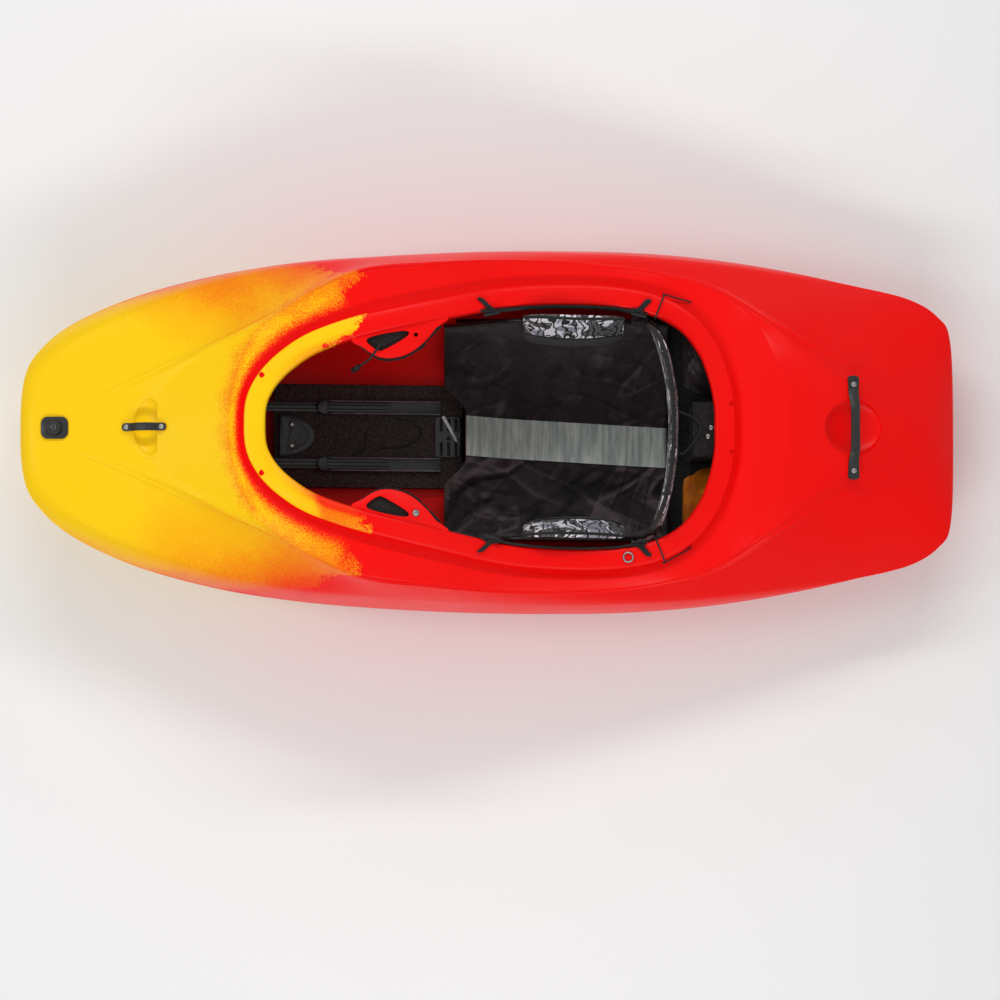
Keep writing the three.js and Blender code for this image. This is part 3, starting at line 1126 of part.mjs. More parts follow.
// The bag swells until it meets the hull or the pillar, and closes to a flat seam at both ends
function bagRing(x, swell, sign) {
  const [y, z] = BAG_CENTRE;
  const centre = new THREE.Vector3(x + NUDGE, y, z);
  return steps(0, 2 * Math.PI, BAG_SIDES).slice(0, -1).map((angle) => {
    const direction = new THREE.Vector3(0, Math.cos(angle), Math.sin(angle));
    const hit = new THREE.Raycaster(centre, direction).intersectObject(measured)[0];
    const wide = BAG_HALF_WIDTH * swell ** 0.4;
    const high = BAG_HALF_HEIGHT * swell;
    const free = 1 / Math.hypot(direction.y / wide, direction.z / high);
    const reach = Math.min(free, (hit ? hit.distance : HEIGHT) - BAG_GAP);
    const p = centre.clone().addScaledVector(direction, reach);
    return new THREE.Vector3(x, sign * Math.max(p.y, BAG_INNER), p.z);
  });
}

SIDES.forEach(([side, sign]) => {
  const rings = steps(0, 1, 9).map((u) => bagRing(
    THREE.MathUtils.lerp(cockpitBack - BAG_AHEAD, LENGTH / 2 - BAG_INSET, u),
    Math.max(Math.sin(Math.PI * THREE.MathUtils.clamp(u, 0.03, 0.97)) ** 0.5, 0.06),
    sign,
  ));
  addPiece(`float_bag_${side}`, loft(rings), sign > 0 ? clearFilm : orangeFabric);
});

// Foam under each thigh hook, the port hook's bolt, and a short cord with a toggle on the starboard hook
const THIGH_FOAM = 12;
const thighSide = [
  [0.06, 0.04], [0.12, 0.48], [0.27, 0.88], [0.42, 1.06], [0.57, 1.08], [0.7, 0.96], [0.82, 0.7], [0.94, 0.04],
].map(([share, inward]) => [share, inward * HOOK_REACH]);
const thighPad = toGeometry(cut(hookPlate(thighSide, THIGH_FOAM, HOOK_THICKNESS + CLEARANCE)));
addPiece("thigh_pad_starboard", thighPad, blackFoam);
addPiece("thigh_pad_port", mirrored(thighPad), blackFoam);

const HOOK_BOLT_HEAD = 7;
const HOOK_BOLT_HEIGHT = 4;
addPiece("hook_bolt_port", turned([
  [0, -HOOK_THICKNESS], [HOOK_BOLT_RADIUS - 2 * CLEARANCE, -HOOK_THICKNESS], [HOOK_BOLT_RADIUS - 2 * CLEARANCE, 0],
  [HOOK_BOLT_HEAD, 0], [0.8 * HOOK_BOLT_HEAD, 0.8 * HOOK_BOLT_HEIGHT], [0, HOOK_BOLT_HEIGHT],
], 16), steel, facing(hookPlane.normal.clone().multiply(new THREE.Vector3(1, -1, 1)))
  .setPosition(boltSpot.x, -boltSpot.y, hookTop(boltSpot.x, boltSpot.y) + CLEARANCE));

const TOGGLE_CORD_RADIUS = 2;
const TOGGLE_RADIUS = 5.5;
const TOGGLE_LENGTH = 20;
const TOGGLE_ROUTE = [
  [-203, 150, 1.5], [-208, 141, 3.4], [-215, 131, 3], [-224, 121, -6], [-235, 114, -17], [-244, 109, -30],
];
const togglePoints = TOGGLE_ROUTE.map(([x, y, above]) => new THREE.Vector3(x, y, hookTop(x, y) + above));
addPiece("toggle_cord", tube(togglePoints, TOGGLE_CORD_RADIUS, 8, 6), blackFabric);
const toggleEnd = togglePoints.at(-1);
const toggleLine = toggleEnd.clone().sub(togglePoints.at(-2)).normalize();
addPiece("cord_toggle", disc(TOGGLE_RADIUS, TOGGLE_LENGTH, 12), blackPlastic,
  facing(toggleLine).setPosition(toggleEnd.clone().addScaledVector(toggleLine, CLEARANCE)));

// Thin cords: two tails of the backband lashing that hang over the rim, and one cord from the band
// to the stern pillar
const TAIL_RADIUS = 1.5;
const TAIL_LIFT = 3.2;
const TAIL_X = 318;
const TAIL_ENDS = [["starboard", 1, [386, 241]], ["port", -1, [386, 226]]];
const TAIL_ROUTE = [
  [-3.4, 26], [-3.6, 8], [-1.6, -0.6], [10, -2.4], [22, -3.6], [36, -2], [43.4, 3], [46, 12],
];
TAIL_ENDS.forEach(([side, sign, [x, y]]) => {
  const rib = ribAt(TAIL_X);
  const points = TAIL_ROUTE.map(([out, drop]) => rimPoint(rib, out, drop));
  points.push(new THREE.Vector3(x, y, deckAt(x, y) + TAIL_LIFT));
  addPiece(`cord_tail_${side}`, tube(points.map((p) => p.setY(sign * p.y)), TAIL_RADIUS, 8, 7), blackFabric);
});

const BAND_CORD_RADIUS = 2;
const BAND_CORD_ROUTE = [
  [362, 30, 288], [373, 28, 262], [392, 20, 243.5], [404, 0, 243.2], [392, -22, 243.5], [373, -46, 262],
  [362, -50, 288],
];
addPiece("backband_cord", tube(BAND_CORD_ROUTE.map((p) => new THREE.Vector3(...p)), BAND_CORD_RADIUS, 8, 9), blackFabric);

export default boat;
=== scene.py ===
# Whitewater playboat kayak, seen from above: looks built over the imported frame.
# Metres. The bow points along -X, starboard is +Y, up is +Z, and the floor is z = 0.
import math

import bmesh
import bpy
import numpy as np
from mathutils import Matrix, Vector, noise
from mathutils.bvhtree import BVHTree


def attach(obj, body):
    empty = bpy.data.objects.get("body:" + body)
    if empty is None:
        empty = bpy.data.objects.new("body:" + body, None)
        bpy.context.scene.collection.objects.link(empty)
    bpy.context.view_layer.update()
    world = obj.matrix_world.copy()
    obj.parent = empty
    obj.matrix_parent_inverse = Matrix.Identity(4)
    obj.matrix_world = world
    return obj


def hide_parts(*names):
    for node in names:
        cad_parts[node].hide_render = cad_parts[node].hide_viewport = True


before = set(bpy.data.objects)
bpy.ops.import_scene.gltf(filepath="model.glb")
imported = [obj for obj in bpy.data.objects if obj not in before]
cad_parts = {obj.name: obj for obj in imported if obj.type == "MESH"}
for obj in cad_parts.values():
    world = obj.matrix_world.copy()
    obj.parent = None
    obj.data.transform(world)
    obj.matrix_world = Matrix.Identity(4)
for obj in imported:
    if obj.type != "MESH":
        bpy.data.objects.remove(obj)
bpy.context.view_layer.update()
scene = bpy.context.scene
scene.view_settings.view_transform = "Standard"


# Camera, light and floor
# The middle picture of the three: the boat seen from above, the camera leaning a little to port.
# A long lens keeps the view nearly flat, and one picture pixel is 1.9 mm on the boat.
LEAN, DISTANCE, LENS = math.radians(3.5), 11.97, 225
TARGET = Vector((0.022, -0.130, 0.155))
camera = bpy.data.objects.new("camera", bpy.data.cameras.new("camera"))
camera.data.lens = LENS
camera.data.sensor_width = 36
camera.data.clip_end = 60
camera.rotation_euler = (LEAN, 0, 0)
camera.location = TARGET + Vector((0, -math.sin(LEAN), math.cos(LEAN))) * DISTANCE
scene.collection.objects.link(camera)
scene.camera = camera


def lamp(name, place, aim, sides, power):
    """A soft rectangle of light, aimed at a point."""
    light = bpy.data.lights.new(name, "AREA")
    light.shape = "RECTANGLE"
    light.size, light.size_y = sides
    light.energy = power
    hung = bpy.data.objects.new(name, light)
    hung.location = place
    hung.rotation_euler = (Vector(aim) - Vector(place)).to_track_quat("-Z", "Y").to_euler()
    scene.collection.objects.link(hung)


lamp("bank_starboard", (0, 2.3, 2.7), (0, 0, 0.2), (3.2, 0.24), 46)
lamp("bank_port", (0, -2.4, 2.5), (0, 0, 0.2), (3.2, 0.24), 40)
lamp("bow_fill", (-2.6, 0, 2.6), (-0.5, 0, 0.2), (0.6, 1.6), 14)


def add(tree, kind, inputs=None, **settings):
    """One shader node, its settings, and its inputs given as values or as links."""
    made = tree.nodes.new(kind)
    for key, value in settings.items():
        setattr(made, key, value)
    for key, value in (inputs or {}).items():
        if isinstance(value, bpy.types.NodeSocket):
            tree.links.new(value, made.inputs[key])
        else:
            made.inputs[key].default_value = value
    return made


def maths(tree, operation, a, b=0.0):
    return add(tree, "ShaderNodeMath", {0: a, 1: b}, operation=operation).outputs[0]


# White to the camera, in gloss and through clear film, and dimmer where it lights the boat
SKY_LIGHT = 0.44
scene.world = bpy.data.worlds.new("studio")
scene.world.use_nodes = True
tree = scene.world.node_tree
tree.nodes.clear()
rays = add(tree, "ShaderNodeLightPath").outputs
mirrored = maths(tree, "MAXIMUM", rays["Is Glossy Ray"], rays["Is Transmission Ray"])
seen = maths(tree, "MAXIMUM", rays["Is Camera Ray"], mirrored)
dimmed = add(tree, "ShaderNodeMapRange", {"Value": seen, "To Min": SKY_LIGHT, "To Max": 1.0})
white = {"Color": (1, 1, 1, 1), "Strength": dimmed.outputs["Result"]}
sky = add(tree, "ShaderNodeBackground", white).outputs[0]
add(tree, "ShaderNodeOutputWorld", {"Surface": sky})


def material(name, rough=0.5, **sockets):
    """A paint, its tree and shader, and the piece's own coordinates. Sockets that are the same all over
    are set on the shader itself."""
    made = bpy.data.materials.new(name)
    made.use_nodes = True
    tree = made.node_tree
    shader = tree.nodes["Principled BSDF"]
    shader.inputs["Roughness"].default_value = rough
    for key, value in sockets.items():
        shader.inputs[key.replace("_", " ")].default_value = value
    return made, tree, shader, add(tree, "ShaderNodeTexCoord").outputs["Object"]


FLOOR_HALF = 9
floor_mesh = bpy.data.meshes.new("floor")
floor_mesh.from_pydata([(x * FLOOR_HALF, y * FLOOR_HALF, 0) for x, y in ((-1, -1), (1, -1), (1, 1), (-1, 1))],
                       [], [(0, 1, 2, 3)])
floor = bpy.data.objects.new("floor", floor_mesh)
scene.collection.objects.link(floor)
floor_paint, tree, shader, where = material("floor_paint", 0.9)
grain = add(tree, "ShaderNodeTexNoise", {"Vector": where, "Scale": 3.0}).outputs["Fac"]
pale = add(tree, "ShaderNodeMapRange", {"Value": grain, "To Min": 0.87, "To Max": 0.89}).outputs["Result"]
tree.links.new(pale, shader.inputs["Base Color"])
floor_mesh.materials.append(floor_paint)


# Loose cords
# Braided nylon line, 3 and 4 mm thick. Two tails of the lashing lie over the rim behind the seat, and
# one line ties the back band to the stern pillar.
SIDES = {"starboard": 1, "port": -1}
BRAID, TAIL, CORD_POINTS = 0.004, 0.003, 40
TAIL_ROUTE = [
    (0.31675, 0.20907, 0.24653), (0.31668, 0.20888, 0.26453), (0.31741, 0.21074, 0.27313),
    (0.32167, 0.22153, 0.27493), (0.32608, 0.23269, 0.27613), (0.33122, 0.24571, 0.27453),
    (0.33394, 0.25259, 0.26953), (0.3349, 0.25501, 0.26053),
]
TAIL_ENDS = {"starboard": (0.386, 0.241, 0.25227), "port": (0.386, -0.226, 0.25152)}
BAND_CORD_ROUTE = [
    (0.362, 0.030, 0.288), (0.373, 0.028, 0.262), (0.392, 0.020, 0.2435), (0.404, 0, 0.2432),
    (0.392, -0.022, 0.2435), (0.373, -0.046, 0.262), (0.362, -0.050, 0.288),
]


def catmull(a, b, c, d, u):
    sb, sc = (c - a) / 2, (d - b) / 2
    return (((2 * (b - c) + sb + sc) * u + 3 * (c - b) - 2 * sb - sc) * u + sb) * u + b


def through(route, count):
    """Evenly spaced points on one smooth line through a route."""
    p = np.array([np.array(q, float) for q in route])
    p = np.concatenate([[2 * p[0] - p[1]], p, [2 * p[-1] - p[-2]]])
    fine = [catmull(*p[i:i + 4], u) for i in range(len(p) - 3) for u in np.linspace(0, 1, 24, endpoint=False)]
    fine = np.array(fine + [p[-2]])
    run = np.concatenate([[0], np.cumsum(np.linalg.norm(np.diff(fine, axis=0), axis=1))])
    at = np.linspace(0, run[-1], count)
    return np.stack([np.interp(at, run, fine[:, k]) for k in range(3)], 1)


def sewn_line(name, points, radius, paint, body, closed=False):
    """A round line that follows points: cord, piping or a wire."""
    curve = bpy.data.curves.new(name, "CURVE")
    curve.dimensions = "3D"
    spline = curve.splines.new("POLY")
    spline.points.add(len(points) - 1)
    for knot, place in zip(spline.points, points):
        knot.co = (*place, 1)
    spline.use_cyclic_u = closed
    spline.use_smooth = True
    curve.bevel_depth = radius
    curve.bevel_resolution = 3
    curve.use_fill_caps = True
    curve.materials.append(paint)
    piece = bpy.data.objects.new(name, curve)
    scene.collection.objects.link(piece)
    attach(piece, body)
    return piece


def fit(tree, value, low, high, to_low=0.0, to_high=1.0, kind="SMOOTHSTEP"):
    """Maps one range of a value on another, with soft ends unless told otherwise."""
    spans = {"Value": value, "From Min": low, "From Max": high, "To Min": to_low, "To Max": to_high}
    return add(tree, "ShaderNodeMapRange", spans, interpolation_type=kind).outputs["Result"]


def mix(tree, factor, a, b):
    """One colour, or another where the factor is 1. A colour is three numbers or a link."""
    made = add(tree, "ShaderNodeMix", data_type="RGBA")
    for socket, value in ((made.inputs[0], factor), (made.inputs[6], a), (made.inputs[7], b)):
        if isinstance(value, bpy.types.NodeSocket):
            tree.links.new(value, socket)
        else:
            socket.default_value = (*value, 1) if isinstance(value, tuple) else value
    return made.outputs[2]


def covered(tree, shader, colour, height, strength, depth):
    """Gives a paint its colour, and raises its surface by a pattern."""
    tree.links.new(colour, shader.inputs["Base Color"])
    bump = add(tree, "ShaderNodeBump", {"Height": height, "Strength": strength, "Distance": depth})
    tree.links.new(bump.outputs["Normal"], shader.inputs["Normal"])


cord_braid, tree, shader, where = material("cord_braid", 0.8, Specular_IOR_Level=0.3)
strands = add(tree, "ShaderNodeTexVoronoi", {"Vector": where, "Scale": 900.0}).outputs["Distance"]
covered(tree, shader, mix(tree, fit(tree, strands, 0.1, 0.7), (0.045, 0.042, 0.042), (0.008, 0.008, 0.009)),
        strands, 0.8, 0.0006)


def free_cord(name, route, count, thickness, **facts):
    line = through(route, count)
    piece = sewn_line(name, line, thickness / 2, cord_braid, "hull")
    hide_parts(name)


for side_name, side in SIDES.items():
    route = [(x, side * y, z) for x, y, z in TAIL_ROUTE] + [TAIL_ENDS[side_name]]
    free_cord("cord_tail_" + side_name, route, CORD_POINTS, TAIL,
              far_end="bare", stiffness="limp", lay="loose")
free_cord("backband_cord", BAND_CORD_ROUTE, CORD_POINTS, BRAID,
          far_end="object", stiffness="limp", lay="taut")


# The lines of the boat
# Guide lines from the middle of the bow to the middle of the stern through eighteen ribs, from which
# shell and outfitting are set out. Thousandths of the length, of the half beam and of the height.
LENGTH, BEAM, HEIGHT, WALL = 1.780, 0.695, 0.412, 0.0055
LAST = 17
KEEL = [
    (43, 0, 422), (56, 0, 386), (78, 0, 333), (114, 0, 260), (163, 0, 180), (233, 0, 102),
    (308, 0, 42), (383, 0, 19), (469, 0, 0), (555, 0, 0), (642, 0, 5), (728, 0, 28),
    (814, 0, 75), (884, 0, 138), (927, 0, 182), (948, 0, 209), (967, 0, 235), (977, 0, 250),
]
FLAT = [
    (30, 0, 461), (39, 154, 437), (60, 264, 388), (97, 364, 316), (151, 485, 211), (224, 617, 114),
    (302, 656, 49), (383, 669, 19), (469, 667, 0), (555, 669, 0), (642, 689, 6), (728, 672, 32),
    (814, 647, 80), (889, 628, 143), (935, 606, 194), (964, 523, 235), (980, 397, 260), (986, 0, 269),
]
BILGE = [
    (15, 0, 512), (24, 209, 495), (45, 342, 447), (80, 468, 364), (138, 590, 257), (217, 722, 150),
    (299, 755, 85), (383, 777, 49), (469, 780, 41), (555, 780, 39), (642, 782, 41), (728, 777, 61),
    (814, 755, 107), (889, 727, 167), (943, 689, 226), (974, 584, 260), (988, 441, 284), (992, 0, 294),
]
CHINE = [
    (6, 0, 553), (13, 248, 534), (30, 413, 493), (66, 562, 415), (128, 711, 328), (213, 832, 255),
    (298, 898, 211), (383, 926, 172), (469, 939, 155), (555, 942, 150), (642, 937, 153), (728, 915, 160),
    (814, 860, 187), (889, 782, 228), (946, 708, 269), (978, 612, 296), (994, 468, 313), (997, 0, 318),
]
SEAM = [
    (0, 0, 609), (5, 287, 602), (24, 452, 570), (60, 598, 515), (125, 747, 451), (211, 865, 417),
    (297, 933, 396), (383, 970, 385), (469, 992, 379), (555, 1000, 375), (642, 994, 373), (728, 961, 370),
    (814, 895, 368), (889, 813, 367), (948, 733, 369), (982, 628, 374), (997, 482, 376), (1000, 0, 376),
]
EDGE = [
    (12, 0, 655), (18, 242, 650), (37, 391, 641), (74, 529, 629), (136, 678, 633), (217, 810, 675),
    (299, 887, 728), (383, 928, 704), (469, 956, 663), (555, 967, 614), (642, 959, 568), (728, 928, 505),
    (814, 868, 444), (889, 793, 398), (946, 722, 393), (980, 620, 400), (995, 474, 405), (998, 0, 405),
]
CREASE = [
    (52, 0, 670), (58, 88, 670), (73, 154, 670), (109, 231, 682), (159, 347, 721), (224, 496, 806),
    (286, 639, 925), (358, 826, 954), (437, 879, 876), (523, 906, 755), (609, 898, 667), (679, 857, 624),
    (744, 771, 614), (798, 606, 672), (851, 446, 655), (911, 303, 597), (958, 171, 527), (971, 0, 512),
]
PANEL = [
    (136, 0, 709), (138, 116, 706), (149, 209, 721), (174, 314, 757), (209, 435, 816), (254, 556, 879),
    (301, 680, 947), (360, 818, 959), (437, 869, 881), (523, 897, 760), (609, 889, 672), (679, 847, 629),
    (742, 755, 621), (790, 590, 682), (830, 430, 697), (868, 281, 687), (891, 154, 667), (898, 0, 663),
]
TROUGH = [
    (224, 0, 883), (226, 154, 883), (233, 287, 888), (243, 408, 898), (259, 518, 915), (283, 617, 939),
    (316, 722, 961), (362, 810, 956), (437, 860, 879), (523, 887, 757), (609, 879, 670), (679, 837, 626),
    (741, 738, 621), (784, 573, 677), (802, 408, 718), (811, 253, 738), (814, 132, 743), (815, 0, 743),
]
RIM = [
    (264, 0, 910), (265, 94, 910), (270, 165, 915), (280, 237, 925), (295, 306, 944), (316, 375, 968),
    (346, 435, 990), (385, 493, 983), (448, 567, 917), (525, 647, 789), (604, 667, 704), (663, 636, 666),
    (702, 545, 661), (724, 408, 665), (734, 281, 670), (739, 176, 672), (741, 88, 675), (741, 0, 675),
]
LINES = [np.array(line) / 1000 for line in (KEEL, FLAT, BILGE, CHINE, SEAM, EDGE, CREASE, PANEL, TROUGH)]
RIM = np.array(RIM) / 1000
RIM_WIDTH, LIP = 0.040, 0.013
EASE = 0.6  # how far a section leans from straight runs between the lines to one smooth curve


def guide(line, rib):
    """Points of a guide line. Past its ends it goes on as its own mirror image."""
    rib = np.atleast_1d(np.asarray(rib, float))
    side = np.where((rib < 0) | (rib > LAST), -1.0, 1.0)
    along = np.where(rib < 0, -rib, np.where(rib > LAST, 2 * LAST - rib, rib))
    first = np.minimum(np.floor(along).astype(int), LAST - 1)
    near = []
    for k in (-1, 0, 1, 2):
        at = first + k
        p = line[np.where(at < 0, -at, np.where(at > LAST, 2 * LAST - at, at))].copy()
        p[:, 1] *= np.where((at < 0) | (at > LAST), -1, 1)
        near.append(p)
    p = catmull(*near, (along - first)[:, None])
    return np.stack([(p[:, 0] - 0.5) * LENGTH, side * p[:, 1] * BEAM / 2, np.maximum(p[:, 2], 0) * HEIGHT], 1)


def skin(rib, level):
    """Points of the outer skin, on a level that lies between two guide lines."""
    if level < 0:
        return skin(rib, -level) * (1, -1, 1)
    low = min(int(level), len(LINES) - 2)
    u = level - low
    p = [guide(LINES[min(max(low + k, 0), len(LINES) - 1)], rib) for k in (-1, 0, 1, 2)]
    if low == 0:
        p[0] = p[2] * (1, -1, 1)
    curved = catmull(*p, u)
    curved[:, 2] = np.maximum(curved[:, 2], 0)
    return (p[1] * (1 - u) + p[2] * u) * (1 - EASE) + curved * EASE


def skin_normal(rib, level):
    """The directions out of the skin."""
    step = 0.02
    round_ = skin(rib + step, level) - skin(rib - step, level)
    across = skin(rib, min(level + step, 8)) - skin(rib, level - step)
    n = np.cross(across, round_)
    return n / np.maximum(np.linalg.norm(n, axis=1), 1e-9)[:, None]


def rim(rib, out, drop):
    """Points of the rim: outward from the line of its opening, and down from its crest."""
    step = 0.02
    rib = np.atleast_1d(np.asarray(rib, float))
    run = guide(RIM, rib + step) - guide(RIM, rib - step)
    outward = np.stack([-run[:, 1], run[:, 0], np.zeros(len(run))], 1)
    outward /= np.linalg.norm(outward, axis=1)[:, None]
    return guide(RIM, rib) + outward * out - np.array([0, 0, drop])


RIM_RUN = np.linspace(0, LAST, 1500)
RIM_TABLE = guide(RIM, RIM_RUN)


# Hull: one rotomoulded polyethylene shell with its cockpit rim
# Rings of points run from the keel up the outside, over the rim and down the inside to the keel.
# The parting line and the deck creases stand a little proud, as they do on a moulded shell.
STEPS = 230
LEVEL_STEPS = (14, 7, 8, 9, 10, 14, 8, 10)
RIDGES = {3: (0.05, 0.0007), 4: (0.035, 0.0009), 6: (0.04, 0.0017)}
RIDGE_FADE = 1.5
levels = sorted({round(i + k / n, 5) for i, n in enumerate(LEVEL_STEPS) for k in range(n)} | {8.0}
                | {level + side * wide for level, (wide, _) in RIDGES.items() for side in (-1, 1)})
# The rim in section, in millimetres outward from the line of its opening and down from its crest
RIM_SECTION = [
    (48, 24.2), (42, 24.5), (36, 24.7), (31, 24.4), (28.2, 23), (27.2, 20), (27, 14), (27.5, 10.8),
    (29.5, 9.4), (33, 9), (37, 8.9), (39.2, 7.8), (40, 5.8), (39.4, 3.8), (37.4, 2.2), (34, 1.2),
    (28, 0.4), (20, 0), (12, 0.2), (6.5, 0.9), (2.8, 2.2), (0.9, 4.2), (0, 7.5), (0, 15),
    (0, 26), (0.2, 31.5), (1, 33.4), (2.7, 34), (4.6, 33.4), (5.3, 31.5), (5.5, 26), (5.5, 12),
    (6.5, 9.9), (9, 9.3), (16, 8.8), (20.6, 9.9), (21.5, 13), (21.5, 26), (23, 29), (28, 29.6),
    (54, 29.5),
]
INNER_LEVELS = [8, 7.5, 7, 6.5, 6, 5.5, 5, 4, 3.5, 3, 2.5, 2, 1.5, 1, 0.66, 0.33, 0]
DECK_LEVEL, DECK_WALL = 5.9, 0.008
OUTSIDE, ON_RIM, INSIDE = 0.0, 1.0, 2.0
ribs = np.linspace(0, LAST, STEPS + 1)


def whole_ring(starboard):
    starboard = starboard.copy()
    starboard[[0, -1], 1] = 0
    return np.concatenate([starboard, (starboard[1:-1] * (1, -1, 1))[::-1]])


def moulded(level):
    """The outer skin at a level, with the moulded ridges pushed out."""
    points = skin(ribs, level)
    if level in RIDGES:
        fade = np.clip(ribs / RIDGE_FADE, 0, 1) * np.clip((LAST - ribs) / RIDGE_FADE, 0, 1)
        points = points + skin_normal(ribs, level) * (RIDGES[level][1] * fade)[:, None]
    return points


def lining(level):
    """The inner skin: straight below the deck, where its lines run close together, and square to the rest."""
    if level > DECK_LEVEL:
        return skin(ribs, level) - np.array([0, 0, DECK_WALL])
    return skin(ribs, level) - skin_normal(ribs, level) * WALL


rings = [(moulded(level), OUTSIDE, level) for level in levels]
rings += [(rim(ribs, out / 1000, drop / 1000), ON_RIM if drop < 29 or out < 23 else INSIDE, 8.0 + out / 1000)
          for out, drop in RIM_SECTION]
rings += [(lining(level), INSIDE, level) for level in INNER_LEVELS]
bm = bmesh.new()
kind = bm.verts.layers.float.new("kind")
height = bm.verts.layers.float.new("level")
rows = []
for points, which, level in rings:
    row = [bm.verts.new(p) for p in whole_ring(points)]
    for v in row:
        v[kind], v[height] = which, level
    rows.append(row)
for low, high in zip(rows, rows[1:]):
    for i in range(len(low)):
        j = (i + 1) % len(low)
        bm.faces.new((low[i], low[j], high[j], high[i]))
bmesh.ops.remove_doubles(bm, verts=bm.verts, dist=1e-5)
bmesh.ops.dissolve_degenerate(bm, edges=bm.edges, dist=1e-6)
bmesh.ops.recalc_face_normals(bm, faces=bm.faces)
if bm.calc_volume(signed=True) < 0:
    bmesh.ops.reverse_faces(bm, faces=bm.faces)


def linked(name, bm):
    """An object of a bmesh, which is used up."""
    mesh = bpy.data.meshes.new(name)
    bm.to_mesh(mesh)
    bm.free()
    made = bpy.data.objects.new(name, mesh)
    scene.collection.objects.link(made)
    return made


hull = linked("hull", bm)

# Frames that stand on the deck at the drain and under the two handles, with z out of the deck
PLUG_FRAME = Matrix(((0.9973, 0, -0.073, -0.823), (0, 1, 0, 0), (0.073, 0, 0.9973, 0.274091), (0, 0, 0, 1)))
BOW_FRAME = Matrix(((0.9645, 0, -0.2643, -0.651), (0, 1, 0, 0), (0.2643, 0, 0.9645, 0.295776), (0, 0, 0, 1)))
STERN_FRAME = Matrix(((0, -0.9697, 0.2443, 0.691), (1, 0, 0, 0), (0, 0.2443, 0.9697, 0.272067), (0, 0, 0, 1)))


def round_tool(place, radius, low, high, sides=48):
    """A cylinder along the z of a frame."""
    bm = bmesh.new()
    bmesh.ops.create_cone(bm, cap_ends=True, segments=sides, radius1=radius, radius2=radius, depth=high - low,
                          matrix=place @ Matrix.Translation((0, 0, (low + high) / 2)))
    return bm


def sliced(bm, spot, side, **clear):
    bmesh.ops.bisect_plane(bm, geom=bm.verts[:] + bm.edges[:] + bm.faces[:],
                           plane_co=spot, plane_no=side, **clear)


def bowl_tool(place, middle, radii, top, flat=None):
    """A bowl below the deck: an ellipsoid cut off at a height, and straight on one side if asked."""
    bm = bmesh.new()
    bmesh.ops.create_uvsphere(bm, u_segments=56, v_segments=28, radius=1)
    bmesh.ops.scale(bm, verts=bm.verts, vec=radii)
    bmesh.ops.translate(bm, verts=bm.verts, vec=middle)
    for spot, side in [((0, 0, top), (0, 0, 1))] + ([((flat, 0, 0), (1, 0, 0))] if flat is not None else []):
        sliced(bm, spot, side, clear_outer=True)
        bmesh.ops.holes_fill(bm, edges=[e for e in bm.edges if e.is_boundary])
    bmesh.ops.transform(bm, matrix=place, verts=bm.verts)
    return bm


def carve(piece, operation, *tools):
    """Adds tools to a piece, or cuts them away."""
    whole = bmesh.new()
    for bm in tools:
        mesh = bpy.data.meshes.new("tool")
        bmesh.ops.recalc_face_normals(bm, faces=bm.faces)
        bm.to_mesh(mesh)
        bm.free()
        whole.from_mesh(mesh)
        bpy.data.meshes.remove(mesh)
    bmesh.ops.recalc_face_normals(whole, faces=whole.faces)
    tool = linked("tool", whole)
    cut = piece.modifiers.new("cut", "BOOLEAN")
    cut.object, cut.operation, cut.solver = tool, operation, "EXACT"
    bpy.context.view_layer.update()
    made = bpy.data.meshes.new_from_object(piece.evaluated_get(bpy.context.evaluated_depsgraph_get()))
    piece.modifiers.clear()
    piece.data = made
    bpy.data.objects.remove(tool)


# Finger scoops under the handles, the bosses of the strap screws, then every hole
BOW_SCREWS, STERN_SCREWS, SCREW_HOLE = 0.035, 0.082, 0.0028
BOW_BOWL, STERN_BOWL = (0.032, 0.056, 0.0165), (0.054, 0.058, 0.018)
BOW_BOWL_MIDDLE, BOW_BOWL_FLAT, BOWL_TOP = (0.008, 0, 0), 0.024, -0.0045
BOSS_LOW, BOW_BOSS, STERN_BOSS = -0.004, (0.010, 0.0015), (0.0125, 0.00416)
DRAIN_HOLE, RIM_HOLE, RIM_HOLE_RIBS = 0.0135, 0.0048, (2.6, 15.6)


def pair(frame, half, lift=0.0):
    """The places of two screws at a distance to each side along the x of a frame."""
    return [frame @ Matrix.Translation((x, 0, lift)) for x in (-half, half)]


walled = [tuple(r + WALL for r in radii) for radii in (BOW_BOWL, STERN_BOWL)]
carve(hull, "UNION", bowl_tool(BOW_FRAME, BOW_BOWL_MIDDLE, walled[0], BOWL_TOP, BOW_BOWL_FLAT + WALL),
      bowl_tool(STERN_FRAME, (0, 0, 0), walled[1], BOWL_TOP),
      *[round_tool(place, BOW_BOSS[0], BOSS_LOW, BOW_BOSS[1]) for place in pair(BOW_FRAME, BOW_SCREWS)])
carve(hull, "UNION",
      *[round_tool(place, STERN_BOSS[0], BOSS_LOW, STERN_BOSS[1])
        for place in pair(STERN_FRAME, STERN_SCREWS)])
rim_holes = [rim(rib, RIM_WIDTH - LIP / 2, 0)[0] * (1, side, 1) for rib in RIM_HOLE_RIBS for side in (1, -1)]
carve(hull, "DIFFERENCE", bowl_tool(BOW_FRAME, BOW_BOWL_MIDDLE, BOW_BOWL, 0.014, BOW_BOWL_FLAT),
      bowl_tool(STERN_FRAME, (0, 0, 0), STERN_BOWL, 0.016), round_tool(PLUG_FRAME, DRAIN_HOLE, -0.02, 0.02),
      *[round_tool(place, SCREW_HOLE, -0.03, 0.03, 20)
        for place in pair(BOW_FRAME, BOW_SCREWS) + pair(STERN_FRAME, STERN_SCREWS)],
      *[round_tool(Matrix.Translation(spot), RIM_HOLE, -0.02, 0.01, 24) for spot in rim_holes])
hull_mesh = hull.data
